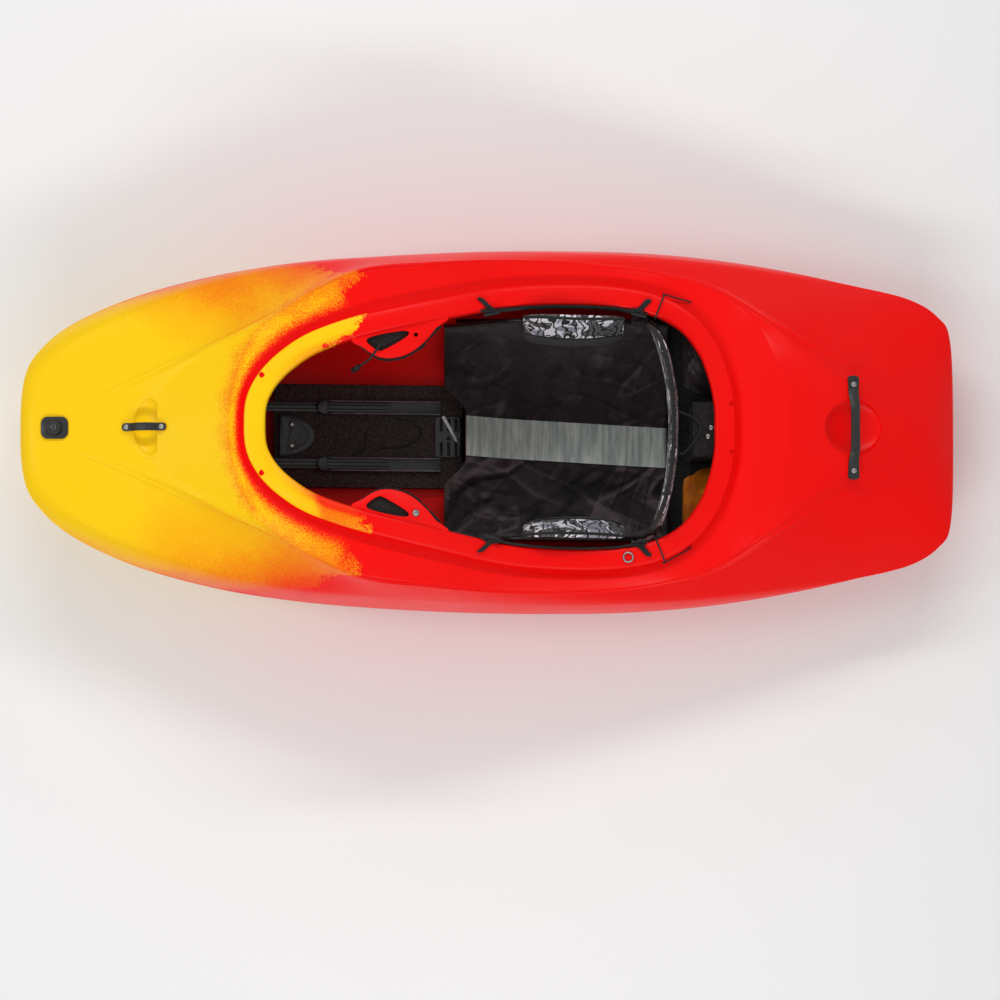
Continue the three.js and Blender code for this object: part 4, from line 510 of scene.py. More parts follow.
hull_mesh.polygons.foreach_set("use_smooth", [True] * len(hull_mesh.polygons))
hull_mesh.set_sharp_from_angle(angle=math.radians(48))

# Colour map of the shell, kept on its points: how far a point lies aft of the border between the
# yellow and the red, how much orange spray lies on the yellow, and the red core of the trough
count = len(hull_mesh.vertices)
co = np.empty(count * 3)
hull_mesh.vertices.foreach_get("co", co)
x, y, z = co.reshape(-1, 3).T
kinds, heights = np.empty(count), np.empty(count)
hull_mesh.attributes["kind"].data.foreach_get("value", kinds)
hull_mesh.attributes["level"].data.foreach_get("value", heights)


def smooth(low, high, value):
    t = np.clip((value - low) / (high - low), 0, 1)
    return t * t * (3 - 2 * t)


# Level and place of the border; level, start and strength of the spray; place and width of the core
BORDER = np.array([(0, -0.215), (1, -0.222), (2, -0.240), (2.9, -0.270), (3.1, -0.480), (4, -0.500),
                   (4.4, -0.45), (5, -0.35), (5.6, -0.275), (6.2, -0.254), (8, -0.252)]).T
SPRAY = np.array([(0, -0.28, 0.55), (1, -0.36, 0.65), (2, -0.52, 0.85), (3, -0.80, 1.15), (3.3, -0.86, 1.35),
                  (4, -0.84, 1.5), (4.6, -0.76, 1.45), (5.2, -0.68, 1.25), (6, -0.56, 1.0), (7, -0.50, 0.75),
                  (8, -0.44, 0.65)]).T
CORE = np.array([(-0.50, 0.016), (-0.44, 0.022), (-0.38, 0.036), (-0.33, 0.052), (-0.28, 0.075)]).T
RIM_BORDER, PORT_SHIFT, CORE_SOFT, ROSE_WIDTH = -0.250, 0.03, (-0.010, 0.014), 0.075
border = np.interp(heights, *BORDER)
start = np.interp(heights, SPRAY[0], SPRAY[1]) - PORT_SHIFT * (y < 0)
spray = np.clip((x - start) / (border - start + 0.02), 0, 1.0) ** 0.7 * np.interp(heights, SPRAY[0], SPRAY[2])
top, across_rim = kinds == ON_RIM, heights - 8
inner_lip = smooth(0.024, 0.006, across_rim) * top
border = np.where(top, RIM_BORDER - 0.040 * inner_lip * (y > 0), border)
rim_spray = (0.15 + 0.75 * inner_lip) * smooth(-0.44, -0.31, x) + 0.75 * smooth(-0.335, -0.305, x) * (y < 0)
spray = np.where(top, rim_spray, spray)
rim_edge = rim(np.linspace(0, LAST, 240), RIM_WIDTH, 0)[:, :2]
gap = np.full(count, 1.0)
deck = np.flatnonzero((kinds == OUTSIDE) & (heights > 5.5) & (x < -0.1))
for block in np.array_split(deck, 40):
    apart = np.stack([x[block], np.abs(y[block])], 1)[:, None] - rim_edge[None]
    gap[block] = np.sqrt((apart ** 2).sum(2).min(1))
past_core = gap - np.interp(x, *CORE)
core = np.maximum(1 - smooth(*CORE_SOFT, past_core), smooth(0.040, 0.044, across_rim) * top)
# Red too: the underside of the rim, and the walls of its holes
under_rim = top & (across_rim > 0.0265) & (z < np.interp(x, RIM_TABLE[:, 0], RIM_TABLE[:, 2]) - 0.0085)
core[under_rim | ((kinds == OUTSIDE) & (heights == 0) & (z > 0.3) & (x > -0.5))] = 1
rose = (1 - smooth(0.0, ROSE_WIDTH, past_core)) * smooth(-0.60, -0.44, x)


def mapped(piece, name, values):
    piece.data.attributes.new(name, "FLOAT", "POINT").data.foreach_set("value", values)


for name, values in (("edge", x - border), ("spray", spray), ("core", np.clip(core, 0, 1)), ("rose", rose),
                     ("inside", (kinds == INSIDE).astype(float))):
    mapped(hull, name, values)


def attribute(tree, name):
    return add(tree, "ShaderNodeAttribute", attribute_name=name).outputs["Fac"]


def plus(tree, a, b):
    return maths(tree, "ADD", a, b)


def times(tree, a, b):
    return maths(tree, "MULTIPLY", a, b)


def evenly(tree, value, low, high, to_low=0.0, to_high=1.0):
    return fit(tree, value, low, high, to_low, to_high, "LINEAR")


def cloudy(tree, where, scale, detail=4.0, rough=0.55):
    return add(tree, "ShaderNodeTexNoise", {"Vector": where, "Scale": scale, "Detail": detail,
               "Roughness": rough}).outputs["Fac"]


YELLOW, GOLD, ORANGE = (1.0, 0.62, 0.004), (1.0, 0.38, 0.002), (0.94, 0.17, 0.003)
RED, ROSE = (0.93, 0.002, 0.0015), (0.86, 0.012, 0.008)
DEEP_RED, LINING_RED = (0.78, 0.003, 0.003), (1.0, 0.007, 0.005)


def shell_paint():
    """Powder that melted into the wall: hard cloudy borders, orange spray and a fine pebbled skin."""
    paint, tree, shader, where = material("shell_polyethylene", 0.3, Specular_IOR_Level=0.12)
    clouds = cloudy(tree, where, 15.0, 8.0, 0.68)
    drift = cloudy(tree, where, 5.0, 3.0, 0.5)
    specks = cloudy(tree, where, 330.0, 2.0, 0.7)
    grains = cloudy(tree, where, 900.0, 1.0, 0.5)
    dust = plus(tree, times(tree, specks, 0.62), times(tree, grains, 0.38))

    def strewn(name, *patterns):
        """A map with patterns added to it, each with the share it may take off or add."""
        value = attribute(tree, name)
        for pattern, low, high, off, on in patterns:
            value = plus(tree, value, evenly(tree, pattern, low, high, off, on))
        return value

    ragged = strewn("edge", (clouds, 0.25, 0.75, -0.055, 0.055), (specks, 0.3, 0.7, -0.012, 0.012))
    loaded = strewn("spray", (drift, 0.3, 0.7, -0.22, 0.22), (dust, 0.3, 0.7, -0.26, 0.26))
    blushed = strewn("rose", (dust, 0.3, 0.7, -0.45, 0.45), (clouds, 0.3, 0.7, -0.30, 0.20))
    cored = strewn("core", (dust, 0.3, 0.7, -0.22, 0.22))
    base = mix(tree, evenly(tree, loaded, 0.05, 0.8), YELLOW, GOLD)
    base = mix(tree, fit(tree, loaded, 0.55, 1.10), base, ORANGE)
    base = mix(tree, fit(tree, loaded, 1.02, 1.40, 0, 0.85), base, RED)
    base = mix(tree, fit(tree, blushed, 0.2, 0.9, 0, 0.85), base, ORANGE)
    base = mix(tree, fit(tree, cored, 0.3, 0.8), base, RED)
    reds = mix(tree, 0.25, RED, mix(tree, fit(tree, drift, 0.35, 0.7), RED, ROSE))
    base = mix(tree, fit(tree, ragged, -0.005, 0.007), base, reds)
    lining_reds = mix(tree, fit(tree, grains, 0.35, 0.65), DEEP_RED, LINING_RED)
    base = mix(tree, attribute(tree, "inside"), base, lining_reds)
    worn = cloudy(tree, where, 7.0, 1.0, 0.4)
    tree.links.new(evenly(tree, worn, 0.1, 0.9, 0.24, 0.40), shader.inputs["Roughness"])
    pebbles = plus(tree, cloudy(tree, where, 500.0, 2.0), times(tree, cloudy(tree, where, 14.0, 3.0), 0.5))
    covered(tree, shader, base, pebbles, 0.12, 0.0004)
    return paint


shell_polyethylene = shell_paint()
hull_mesh.materials.clear()
hull_mesh.materials.append(shell_polyethylene)
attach(hull, "hull")
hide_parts("hull_shell")


# Thigh hooks
# A lip moulded with the shell reaches in over each thigh. It has one slot and one bolt hole; foam is
# stuck under it, and its edge shows all round as a wavy black rim.
HOOK_REACH, HOOK_RIBS, HOOK_DROP, HOOK_SLOPE = 0.052, (6.35, 8.05), 0.007, 0.3
HOOK_OUTLINE = [
    (0, -0.06), (0.12, 0.42), (0.27, 0.8), (0.42, 0.98), (0.57, 1), (0.7, 0.88), (0.82, 0.62), (0.92, 0.3),
    (1, -0.06),
]
SLOT_OUTLINE = [(0.2, 0.12), (0.62, 0.12), (0.66, 0.34), (0.42, 0.62), (0.3, 0.6)]
FOAM_OUTLINE = [
    (0.06, 0.04), (0.12, 0.48), (0.27, 0.88), (0.42, 1.06), (0.57, 1.08), (0.7, 0.96), (0.82, 0.7),
    (0.94, 0.04),
]
HOOK_BOLT, HOOK_BOLT_HOLE, HOOK_THICK = (0.74, 0.36), 0.004, 0.008
PAD_THICK, PAD_DROP, PAD_WAVE = 0.0118, 0.0083, 0.0022


def hook_point(share, inward):
    """A place on the starboard hook: a share of the way along it, and of the way in from the rim."""
    rib = HOOK_RIBS[0] + (HOOK_RIBS[1] - HOOK_RIBS[0]) * share
    reach = inward * HOOK_REACH
    return rim(rib, -reach, HOOK_DROP + HOOK_SLOPE * max(reach, 0))[0]


hook_corners = [hook_point(0.1, 0), hook_point(0.9, 0), hook_point(0.5, 1)]
hook_normal = np.cross(hook_corners[1] - hook_corners[0], hook_corners[2] - hook_corners[0])
hook_normal *= np.sign(hook_normal[2]) / np.linalg.norm(hook_normal)


def hook_top(px, py):
    flat = hook_corners[0]
    return flat[2] - (hook_normal[0] * (px - flat[0]) + hook_normal[1] * (py - flat[1])) / hook_normal[2]


def hook_bolt_place(side):
    px, py, _ = hook_point(*HOOK_BOLT)
    return Matrix.Translation((px, side * py, hook_top(px, py)))


def rounded_run(points, count):
    """A closed outline drawn smoothly through a few points."""
    p = np.array(points, float)
    n = len(p)
    return np.array([catmull(*[p[(i + k) % n] for k in (-1, 0, 1, 2)], u)
                     for i in range(n) for u in np.linspace(0, 1, count, endpoint=False)])


def plate(outline, count, side, thick, drop, wave=0.0):
    """A flat plate of an outline on the hook's plane, its edge perhaps cut a little wavy."""
    bm = bmesh.new()
    verts = []
    for share, inward in rounded_run(outline, count):
        px, py, _ = hook_point(share, inward)
        ripple = wave * noise.noise((px * 160, py * 160, side * 5.0))
        px, py = px + ripple, py - ripple
        verts.append(bm.verts.new((px, side * py, hook_top(px, py) - drop)))
    lower = bmesh.ops.extrude_face_region(bm, geom=[bm.faces.new(verts)], use_keep_orig=True)["geom"]
    bmesh.ops.translate(bm, verts=[v for v in lower if isinstance(v, bmesh.types.BMVert)], vec=(0, 0, -thick))
    bmesh.ops.recalc_face_normals(bm, faces=bm.faces)
    return bm


def finished(name, bm, paint, body, replaced=(), sharp=38):
    """Turns a bmesh into a piece of the boat that rides on a body."""
    piece = linked(name, bm)
    mesh = piece.data
    mesh.polygons.foreach_set("use_smooth", [True] * len(mesh.polygons))
    if sharp:
        mesh.set_sharp_from_angle(angle=math.radians(sharp))
    mesh.materials.append(paint)
    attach(piece, body)
    if replaced:
        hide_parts(*replaced)
    return piece


def softened(bm, radius, steps=2, above=40):
    """Rounds the sharp edges of a bmesh."""
    edges = [e for e in bm.edges if len(e.link_faces) == 2 and e.calc_face_angle(0) > math.radians(above)]
    bmesh.ops.bevel(bm, geom=edges, offset=radius, offset_type="OFFSET", affect="EDGES", segments=steps,
                    profile=0.5, material=-1, clamp_overlap=True)


def foam_paint(name, dark, light):
    """Cut foam: open cells with dust in them, and painted shade that makes the pit of each cell nearly black.
    """
    paint, tree, shader, where = material(name, 0.88, Specular_IOR_Level=0.25)
    cells = add(tree, "ShaderNodeTexVoronoi", {"Vector": where, "Scale": 620.0}).outputs["Distance"]
    dusty = cloudy(tree, where, 210.0, 3.0, 0.7)
    shade = mix(tree, fit(tree, dusty, 0.35, 0.75), dark, light)
    # Painted shade: nearly black in the pits of the cells
    shade = mix(tree, fit(tree, cells, 0.0, 0.5), (0.006, 0.006, 0.006), shade)
    covered(tree, shader, shade, plus(tree, cells, dusty), 0.45, 0.0007)
    return paint


closed_cell_foam = foam_paint("closed_cell_foam", (0.008, 0.007, 0.007), (0.028, 0.025, 0.024))
for side_name, side in SIDES.items():
    bm = plate(HOOK_OUTLINE, 7, side, HOOK_THICK, 0.0)
    softened(bm, 0.0022, 3, 60)
    hook = finished("thigh_hook_" + side_name, bm, shell_polyethylene, "hull", sharp=50)
    carve(hook, "DIFFERENCE", plate(SLOT_OUTLINE, 6, side, 0.014, -0.004),
          round_tool(hook_bolt_place(side), HOOK_BOLT_HOLE, -0.02, 0.01, 24))
    hook.data.set_sharp_from_angle(angle=math.radians(40))
    # The hooks are red all over: they lie 0.2 m aft of the border on the colour map
    for name, value in (("edge", 0.2), ("spray", 0), ("core", 0), ("rose", 0), ("inside", 0)):
        mapped(hook, name, [float(value)] * len(hook.data.vertices))
    bm = plate(FOAM_OUTLINE, 12, side, PAD_THICK, PAD_DROP, PAD_WAVE)
    softened(bm, 0.0025, 2, 60)
    finished("thigh_foam_" + side_name, bm, closed_cell_foam, "hull",
             ["thigh_pad_" + side_name])


# Drain, grab handles, toggle and other moulded black parts
# Injection moulded nylon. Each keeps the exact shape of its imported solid, with the moulded edges
# rounded; the screws are steel with a pressed socket. The toggle hangs from the starboard thigh hook.
def nylon_paint(name, shade, gloss):
    paint, tree, shader, where = material(name, gloss, Specular_IOR_Level=0.35)
    rubbed = cloudy(tree, where, 38.0, 6.0, 0.65)
    colour = mix(tree, fit(tree, rubbed, 0.45, 0.8), (shade, shade, shade * 1.05),
                 (shade * 2.6, shade * 2.5, shade * 2.5))
    tree.links.new(evenly(tree, rubbed, 0.3, 0.75, gloss - 0.08, gloss + 0.14), shader.inputs["Roughness"])
    covered(tree, shader, colour, cloudy(tree, where, 1100.0, 2.0), 0.3, 0.0003)
    return paint


moulded_nylon = nylon_paint("moulded_nylon", 0.010, 0.36)
matt_rubber = nylon_paint("matt_rubber", 0.008, 0.7)
stainless_steel, tree, shader, where = material("stainless_steel", 0.3, Metallic=1.0)
scratched = cloudy(tree, where, 500.0, 5.0, 0.7)
tree.links.new(evenly(tree, scratched, 0.3, 0.7, 0.3, 0.5), shader.inputs["Roughness"])
covered(tree, shader, mix(tree, scratched, (0.16, 0.16, 0.16), (0.32, 0.31, 0.30)), scratched, 0.15, 0.0002)

STRAP_ROUND, STRAP_BLUNT = 0.006, 0.97
END_CUTS = (0.0002, 0.0007, 0.0015, 0.0026, 0.004, STRAP_ROUND)


def round_ends(bm, frame):
    """Rounds both ends of a strap that lies along the x of a frame."""
    back = frame.inverted()
    reach = max(abs((back @ v.co).x) for v in bm.verts)
    for cut in END_CUTS:
        for side in (1, -1):
            sliced(bm, frame @ Vector((side * (reach - cut), 0, 0)), frame.col[0].xyz)
    for v in bm.verts:
        p = back @ v.co
        inside_end = max(1 - (reach - abs(p.x)) / STRAP_ROUND, 0)
        p.y *= math.sqrt(max(1 - min(inside_end, STRAP_BLUNT) ** 2, 0))
        v.co = frame @ p


def dressed(node, paint, body, finish_slot, radius, above=38, strap_frame=None):
    """A rigid piece as packed, with its edges rounded."""
    bm = bmesh.new()
    bm.from_mesh(bpy.data.objects[node].data)
    bmesh.ops.remove_doubles(bm, verts=bm.verts, dist=2e-5)
    bmesh.ops.dissolve_limit(bm, angle_limit=math.radians(1.5), verts=bm.verts, edges=bm.edges)
    if strap_frame:
        round_ends(bm, strap_frame)
    softened(bm, radius, 2, above)
    return finished(node + "_piece", bm, paint, body, [node], sharp=42)


def nylon_part(node, radius, above=38, body="hull", **more):
    return dressed(node, moulded_nylon, body, "black_plastic", radius, above, **more)


def turned(profile, steps, closed=False):
    """A bmesh spun round z from a profile of (radius, height)."""
    bm = bmesh.new()
    run = [bm.verts.new((r, 0, h)) for r, h in profile]
    edges = [bm.edges.new(two) for two in zip(run, run[1:] + (run[:1] if closed else []))]
    bmesh.ops.spin(bm, geom=run + edges, cent=(0, 0, 0), axis=(0, 0, 1), angle=2 * math.pi, steps=steps,
                   use_merge=True)
    bmesh.ops.remove_doubles(bm, verts=bm.verts, dist=1e-6)
    bmesh.ops.recalc_face_normals(bm, faces=bm.faces)
    return bm


# A pan head: shares of its radius, and of its height above the shank
PAN_HEAD = [
    (0.96, 0), (1, 0.12), (0.97, 0.4), (0.82, 0.78), (0.58, 0.96), (0.46, 1), (0.42, 0.96), (0.40, 0.35),
    (0, 0.3),
]
SOCKET, SCREW_HEAD, SCREW_HIGH = 0.43, 0.0055, 0.003


def screw_head(node, place, radius=SCREW_HEAD, high=SCREW_HIGH, body="hull", shank=0.0025, deep=0.016):
    """A pan head screw turned round the z of a frame, with a six sided socket."""
    bm = turned([(0, -deep), (shank, -deep), (shank, 0)] + [(radius * r, high * h) for r, h in PAN_HEAD], 36)
    for v in bm.verts:
        if 0 < math.hypot(v.co.x, v.co.y) < radius * SOCKET and v.co.z > 0:
            turn = math.atan2(v.co.y, v.co.x) % (math.pi / 3) - math.pi / 6
            v.co.xy *= math.cos(math.pi / 6) / math.cos(turn)
    bmesh.ops.transform(bm, matrix=place, verts=bm.verts)
    return finished(node + "_piece", bm, stainless_steel, body, [node], sharp=35)


STRAP_TOP = 0.0046
for i, place in enumerate(pair(BOW_FRAME, BOW_SCREWS, BOW_BOSS[1] + STRAP_TOP)):
    screw_head(f"bow_handle_screw_{i + 1}", place)
for i, place in enumerate(pair(STERN_FRAME, STERN_SCREWS, STERN_BOSS[1] + STRAP_TOP)):
    screw_head(f"stern_handle_screw_{i + 1}", place)
nylon_part("bow_handle_strap", 0.0007, strap_frame=BOW_FRAME)
nylon_part("stern_handle_strap", 0.0007, strap_frame=STERN_FRAME)
TOGGLE_ROUTE = [
    (-0.203, 0.150, 0.3919), (-0.208, 0.141, 0.39339), (-0.215, 0.131, 0.39287), (-0.224, 0.121, 0.38424),
    (-0.235, 0.114, 0.37461), (-0.244, 0.109, 0.36287),
]
toggle = nylon_part("cord_toggle", 0.0006)
free_cord("toggle_cord", TOGGLE_ROUTE, 32, BRAID, far_end="object", stiffness="limp", lay="hanging",
          with_pieces=[toggle])
nylon_part("drain_neck", 0.0009)
nylon_part("drain_ring_nut", 0.0008)
dressed("drain_sealing_ring", matt_rubber, "drain_seal", "seal_rubber", 0.0005)
plug = nylon_part("drain_plug", 0.0010, body="drain_plug")


def surface(piece):
    """The surface of a finished piece, to lay lines on."""
    mesh = piece.data
    return BVHTree.FromPolygons([v.co for v in mesh.vertices], [p.vertices[:] for p in mesh.polygons])


# The pale ring pressed into the top of the plug
PLUG_RING, PLUG_RING_WIRE = 0.0042, 0.0007
plug_top, mark = surface(plug), []
for t in np.linspace(0, 2 * math.pi, 28, endpoint=False):
    over = PLUG_FRAME @ Vector((PLUG_RING * math.cos(t), PLUG_RING * math.sin(t), 0.05))
    mark.append(plug_top.ray_cast(over, -PLUG_FRAME.col[2].xyz)[0])
sewn_line("drain_plug_ring", mark, PLUG_RING_WIRE, nylon_paint("pale_ring", 0.16, 0.4), "drain_plug",
          closed=True)

# The bolt of the port hook, square to the hook and a hair above it
HOOK_BOLT_GAP = 0.0003
tilt = Vector((hook_normal[0], -hook_normal[1], hook_normal[2])).to_track_quat("Z", "Y").to_matrix().to_4x4()
screw_head("hook_bolt_port", hook_bolt_place(-1) @ Matrix.Translation((0, 0, HOOK_BOLT_GAP)) @ tilt,
           radius=0.007, high=0.004, shank=0.0034, deep=0.008)


# Leg room
# A foam mat glued to the floor and a foam pillar under the bow deck. Two nylon channels are screwed to
# the mat; a bar slides in each and carries the foam faced plate for a foot.
mat_foam = foam_paint("mat_foam", (0.030, 0.023, 0.020), (0.105, 0.086, 0.078))
mat = dressed("floor_mat", mat_foam, "hull", "black_foam", 0.0025, 30)
dressed("bow_pillar", closed_cell_foam, "hull", "black_foam", 0.003, 50)
nylon_part("pillar_saddle", 0.0009, 30)
tracks, bars = {}, {}
for side_name in SIDES:
    brace = "foot_brace_" + side_name
    tracks[side_name] = nylon_part("foot_track_" + side_name, 0.0006)
    nylon_part("track_end_cap_" + side_name, 0.0008)
    bars[side_name] = nylon_part(brace, 0.0012, body=brace)
    dressed("foot_pad_" + side_name, closed_cell_foam, brace, "black_foam", 0.003, 50)


def under(top, px, py):
    """The point of a surface below a place."""
    return top.ray_cast(Vector((px, py, 0.4)), Vector((0, 0, -1)))[0]


# Painted highlights along both lips of each channel, and painted shade for the slot down the middle of each
# bar
RAIL_MIDDLE, RAIL_RUN, RAIL_HALF, RAIL_LIFT = 0.055, (-0.303, -0.094), 0.0118, 0.0001
SLOT_RUN, SLOT_SHIFT, EDGE_LINE, SLOT_LINE = (-0.46, -0.193), 0.0035, 0.0009, 0.0010
lip_highlight_paint = nylon_paint("painted_lip_highlight", 0.17, 0.3)
for side_name, side in SIDES.items():
    track_top, bar_top = surface(tracks[side_name]), surface(bars[side_name])
    # Pale lines on the lips of the channel: painted highlights
    for k, end in enumerate((-1, 1)):
        py = side * (RAIL_MIDDLE + end * RAIL_HALF)
        run = [under(track_top, px, py) + Vector((0, 0, RAIL_LIFT)) for px in np.linspace(*RAIL_RUN, 12)]
        sewn_line(f"channel_lip_highlight_{side_name}_{k + 1}", run, EDGE_LINE, lip_highlight_paint, "hull")
    # Dark lines down the bar: painted shade for its slot
    for k, end in enumerate((-1, 1)):
        py = side * (RAIL_MIDDLE + end * SLOT_SHIFT)
        run = [under(bar_top, px, py) for px in np.linspace(*SLOT_RUN, 16)]
        sewn_line(f"brace_slot_shade_{side_name}_{k + 1}", run, SLOT_LINE, matt_rubber, "foot_brace_" + side_name)

# A saddle at the front of the mat holds the foot of the pillar, with a screw to each side
SADDLE_FRAME = Matrix(((0.98634, 0, 0.16472, -0.40402), (0, 1, 0, 0), (-0.16472, 0, 0.98634, 0.077068),
                       (0, 0, 0, 1)))
SADDLE_SCREW = (0.024, 0.0205, 0.0043)
for i, end in enumerate((-1, 1)):
    place = SADDLE_FRAME @ Matrix.Translation((SADDLE_SCREW[0], end * SADDLE_SCREW[1], SADDLE_SCREW[2]))
    screw_head(f"saddle_screw_{i + 1}", place, deep=0.004)

# Painted shade: dark lines on the mat in front of the seat, for the grooves that the knife left in it
GROOVE_LIFT, GROOVE_RADIUS = 0.0003, 0.0021
GROOVES = [
    [(-0.207, -0.022), (-0.17, -0.020), (-0.145, -0.010), (-0.132, 0.006), (-0.134, 0.018), (-0.15, 0.030),
     (-0.185, 0.035)],
    [(-0.265, -0.038), (-0.245, -0.028), (-0.238, -0.012), (-0.236, 0.012)],
]
mat_top = surface(mat)
# Each groove is drawn as a dark line of painted shade
for i, route in enumerate(GROOVES):
    line = through([(px, py, under(mat_top, px, py).z + GROOVE_LIFT) for px, py in route], 40)
    sewn_line(f"mat_groove_shade_{i + 1}", line, GROOVE_RADIUS, matt_rubber, "hull")


# Seat
# A moulded bucket on two runners, with a thin baggy cover of brushed nylon over foam, and a ribbed
# webbing strip sewn down its middle. The cover is loose, so it lies in soft folds, most of all to port.
SEAT_FRONT, SEAT_BACK, SEAT_HALF, SEAT_FLAT = -0.08602, 0.34498, 0.20598, 0.128
SEAT_TURN, SEAT_FLOOR, SIDE_HEIGHT, NOSE_CUT = 0.56, 0.0248, 0.22192, 0.042
SIDE_SHARES = [0.42, 0.7, 0.96, 1, 1, 0.98, 0.8, 0.6]
FRONT_RISE, BACK_RISE = (0.040, 0.3), (0.010, 0.25)
COVER_LOW, COVER_THIN, COVER_FULL, COVER_ROUND = 0.0006, 0.006, 0.011, (0.03, 0.03, 0.25)
COVER_GRID, STRIP_GRID, STRIP_PRESS = (110, 150), (130, 12), (0.038, 0.085)
STRIP_HALF, STRIP_DRIFT, STRIP_UNDER, STRIP_TOP = 0.0385, -0.023, 0.0010, 0.0027


def step(low, high, value):
    t = min(max((value - low) / (high - low), 0), 1)
    return t * t * (3 - 2 * t)


def seat_point(along, across, lift):
    """A place on the bucket: shares along it and across it, and the height over its skin."""
    share = abs(across)
    front = SEAT_FRONT + NOSE_CUT * (1 - step(0.2, 0.45, share))
    bend = max(share - SEAT_TURN, 0) / (1 - SEAT_TURN)
    flat = min(share, SEAT_TURN) / SEAT_TURN * SEAT_FLAT
    outer = (SEAT_HALF - lift - SEAT_FLAT) * math.sin(math.pi / 2 * min(1.5 * bend, 1))
    base = (lift + FRONT_RISE[0] * (max(FRONT_RISE[1] - along, 0) / FRONT_RISE[1]) ** 2
            + BACK_RISE[0] * (max(along - 1 + BACK_RISE[1], 0) / BACK_RISE[1]) ** 2)
    side = SIDE_HEIGHT * float(np.interp(along * 7, range(8), SIDE_SHARES))
    z = base + (side - base) * bend ** 1.6
    return (front + (SEAT_BACK - front) * along, math.copysign(flat + outer, across), SEAT_FLOOR + z)


# Runs of folds: turn, how long and how close they lie, height, and where the pattern starts
FOLD_RUNS = ((0.55, 7.0, 26.0, 1.0, 0.0), (-0.35, 6.0, 34.0, 0.6, 9.1), (1.1, 9.0, 30.0, 0.5, 4.7))
FOLD_SEED, FOLD_HEIGHT, STARBOARD_FOLDS, STARBOARD_FOLD_WEAR_AND_SHADE = 3.0, 0.0085, 0.42, 0.45


def folds(px, py):
    """Height of the loose cloth's folds at a place on the seat: long diagonal ridges that fade out."""
    total = 0.0
    for turn, long_, close, high, shift in FOLD_RUNS:
        a = px * math.cos(turn) + py * math.sin(turn)
        b = py * math.cos(turn) - px * math.sin(turn)
        bent = b + 0.02 * noise.noise((px * 9, py * 9, FOLD_SEED + shift))
        n = noise.noise((a * long_, bent * close, FOLD_SEED + shift + 2.3))
        crease, ridge = max(1 - abs(n) * 5.5, 0) ** 1.5, max(1 - abs(n - 0.24) * 4.0, 0) ** 2
        total += high * (ridge - 0.8 * crease)
    return total


def slab(bm, rows, columns, upper, lower):
    """A closed pad: a grid whose upper and lower faces are placed by two rules of (along, across)."""
    bmesh.ops.create_grid(bm, x_segments=rows, y_segments=columns, size=0.5)
    made = bmesh.ops.extrude_face_region(bm, geom=bm.faces[:], use_keep_orig=True)["geom"]
    over = {v for v in made if isinstance(v, bmesh.types.BMVert)}
    share = {v: (v.co.x + 0.5, -1 + 2 * (v.co.y + 0.5)) for v in bm.verts}
    uv = bm.loops.layers.uv.new("cloth")
    for face in bm.faces:
        for loop in face.loops:
            loop[uv].uv = share[loop.vert]
    for v, (along, across) in share.items():
        v.co = upper(along, across) if v in over else lower(along, across)
    bmesh.ops.recalc_face_normals(bm, faces=bm.faces)


def edge_round(along, across, wide_along, wide_across, low=0.0):
    """How full a pad is near its edges: 0 at the edge, 1 once a width inside it."""
    a = min(min(along, 1 - along) / wide_along, 1)
    b = min((1 - abs(across)) / wide_across, 1)
    return low + (1 - low) * math.sqrt(max(1 - (1 - a) ** 2, 0)) * math.sqrt(max(1 - (1 - b) ** 2, 0))


def cover_lift(along, across):
    """Thickness of the cover, with its folds: lively to port, calm at the sides and under the strip."""
    px, py, _ = seat_point(along, across, 0)
    ends = math.sin(math.pi * min(max(along, 0.04), 0.96)) ** 0.35
    thick = COVER_THIN + COVER_FULL * (1 - abs(across) ** 3) * ends
    off_strip = step(*STRIP_PRESS, abs(py - STRIP_DRIFT * along))
    side = 1.0 if py < 0 else STARBOARD_FOLDS
    calm = step(1.0, 0.75, abs(across)) if abs(across) > 0.75 else 1.0
    lively = folds(px, py) * FOLD_HEIGHT * side * (0.12 + 0.88 * off_strip) * (0.25 + 0.75 * calm)
    return thick + lively * step(0, 0.06, along) * step(0, 0.05, 1 - along)


def cover_height(along, across):
    return COVER_LOW + cover_lift(along, across) * edge_round(along, across, *COVER_ROUND)


def cloth_paint(name, dark, light, rough, weave, ridge=None):
    """Woven nylon: two crossing ribs from the piece's own coordinates, rubbed lighter in places, and if asked
    paler on the ridges of the folds (wear and painted highlight) and near black in their creases (painted
    shade)."""
    paint, tree, shader, where = material(name, rough, Sheen_Weight=0.08, Specular_IOR_Level=0.25)
    parts = add(tree, "ShaderNodeSeparateXYZ", {"Vector": where}).outputs
    warp, weft = [maths(tree, "SINE", times(tree, plus(tree, parts[axis], parts["Z"]), weave))
                  for axis in "XY"]
    rubbed = cloudy(tree, where, 24.0, 6.0, 0.7)
    lint = cloudy(tree, where, 420.0, 2.0, 0.7)
    wear = plus(tree, times(tree, rubbed, 0.6), times(tree, lint, 0.4))
    shade = mix(tree, fit(tree, wear, 0.38, 0.66), dark, light)
    if ridge:
        raised = attribute(tree, "fold")
        # Paler on the ridges of the folds: rubbed wear and painted highlight
        shade = mix(tree, fit(tree, raised, 0.05, 0.9, 0, 0.85), shade, ridge)
        # Nearly black in the creases of the folds: painted shade
        shade = mix(tree, fit(tree, raised, -0.75, -0.05, 0.9, 0.0), shade, (0.003, 0.002, 0.002))
    covered(tree, shader, shade, plus(tree, times(tree, warp, weft), times(tree, lint, 1.5)), 0.5, 0.0004)
    return paint


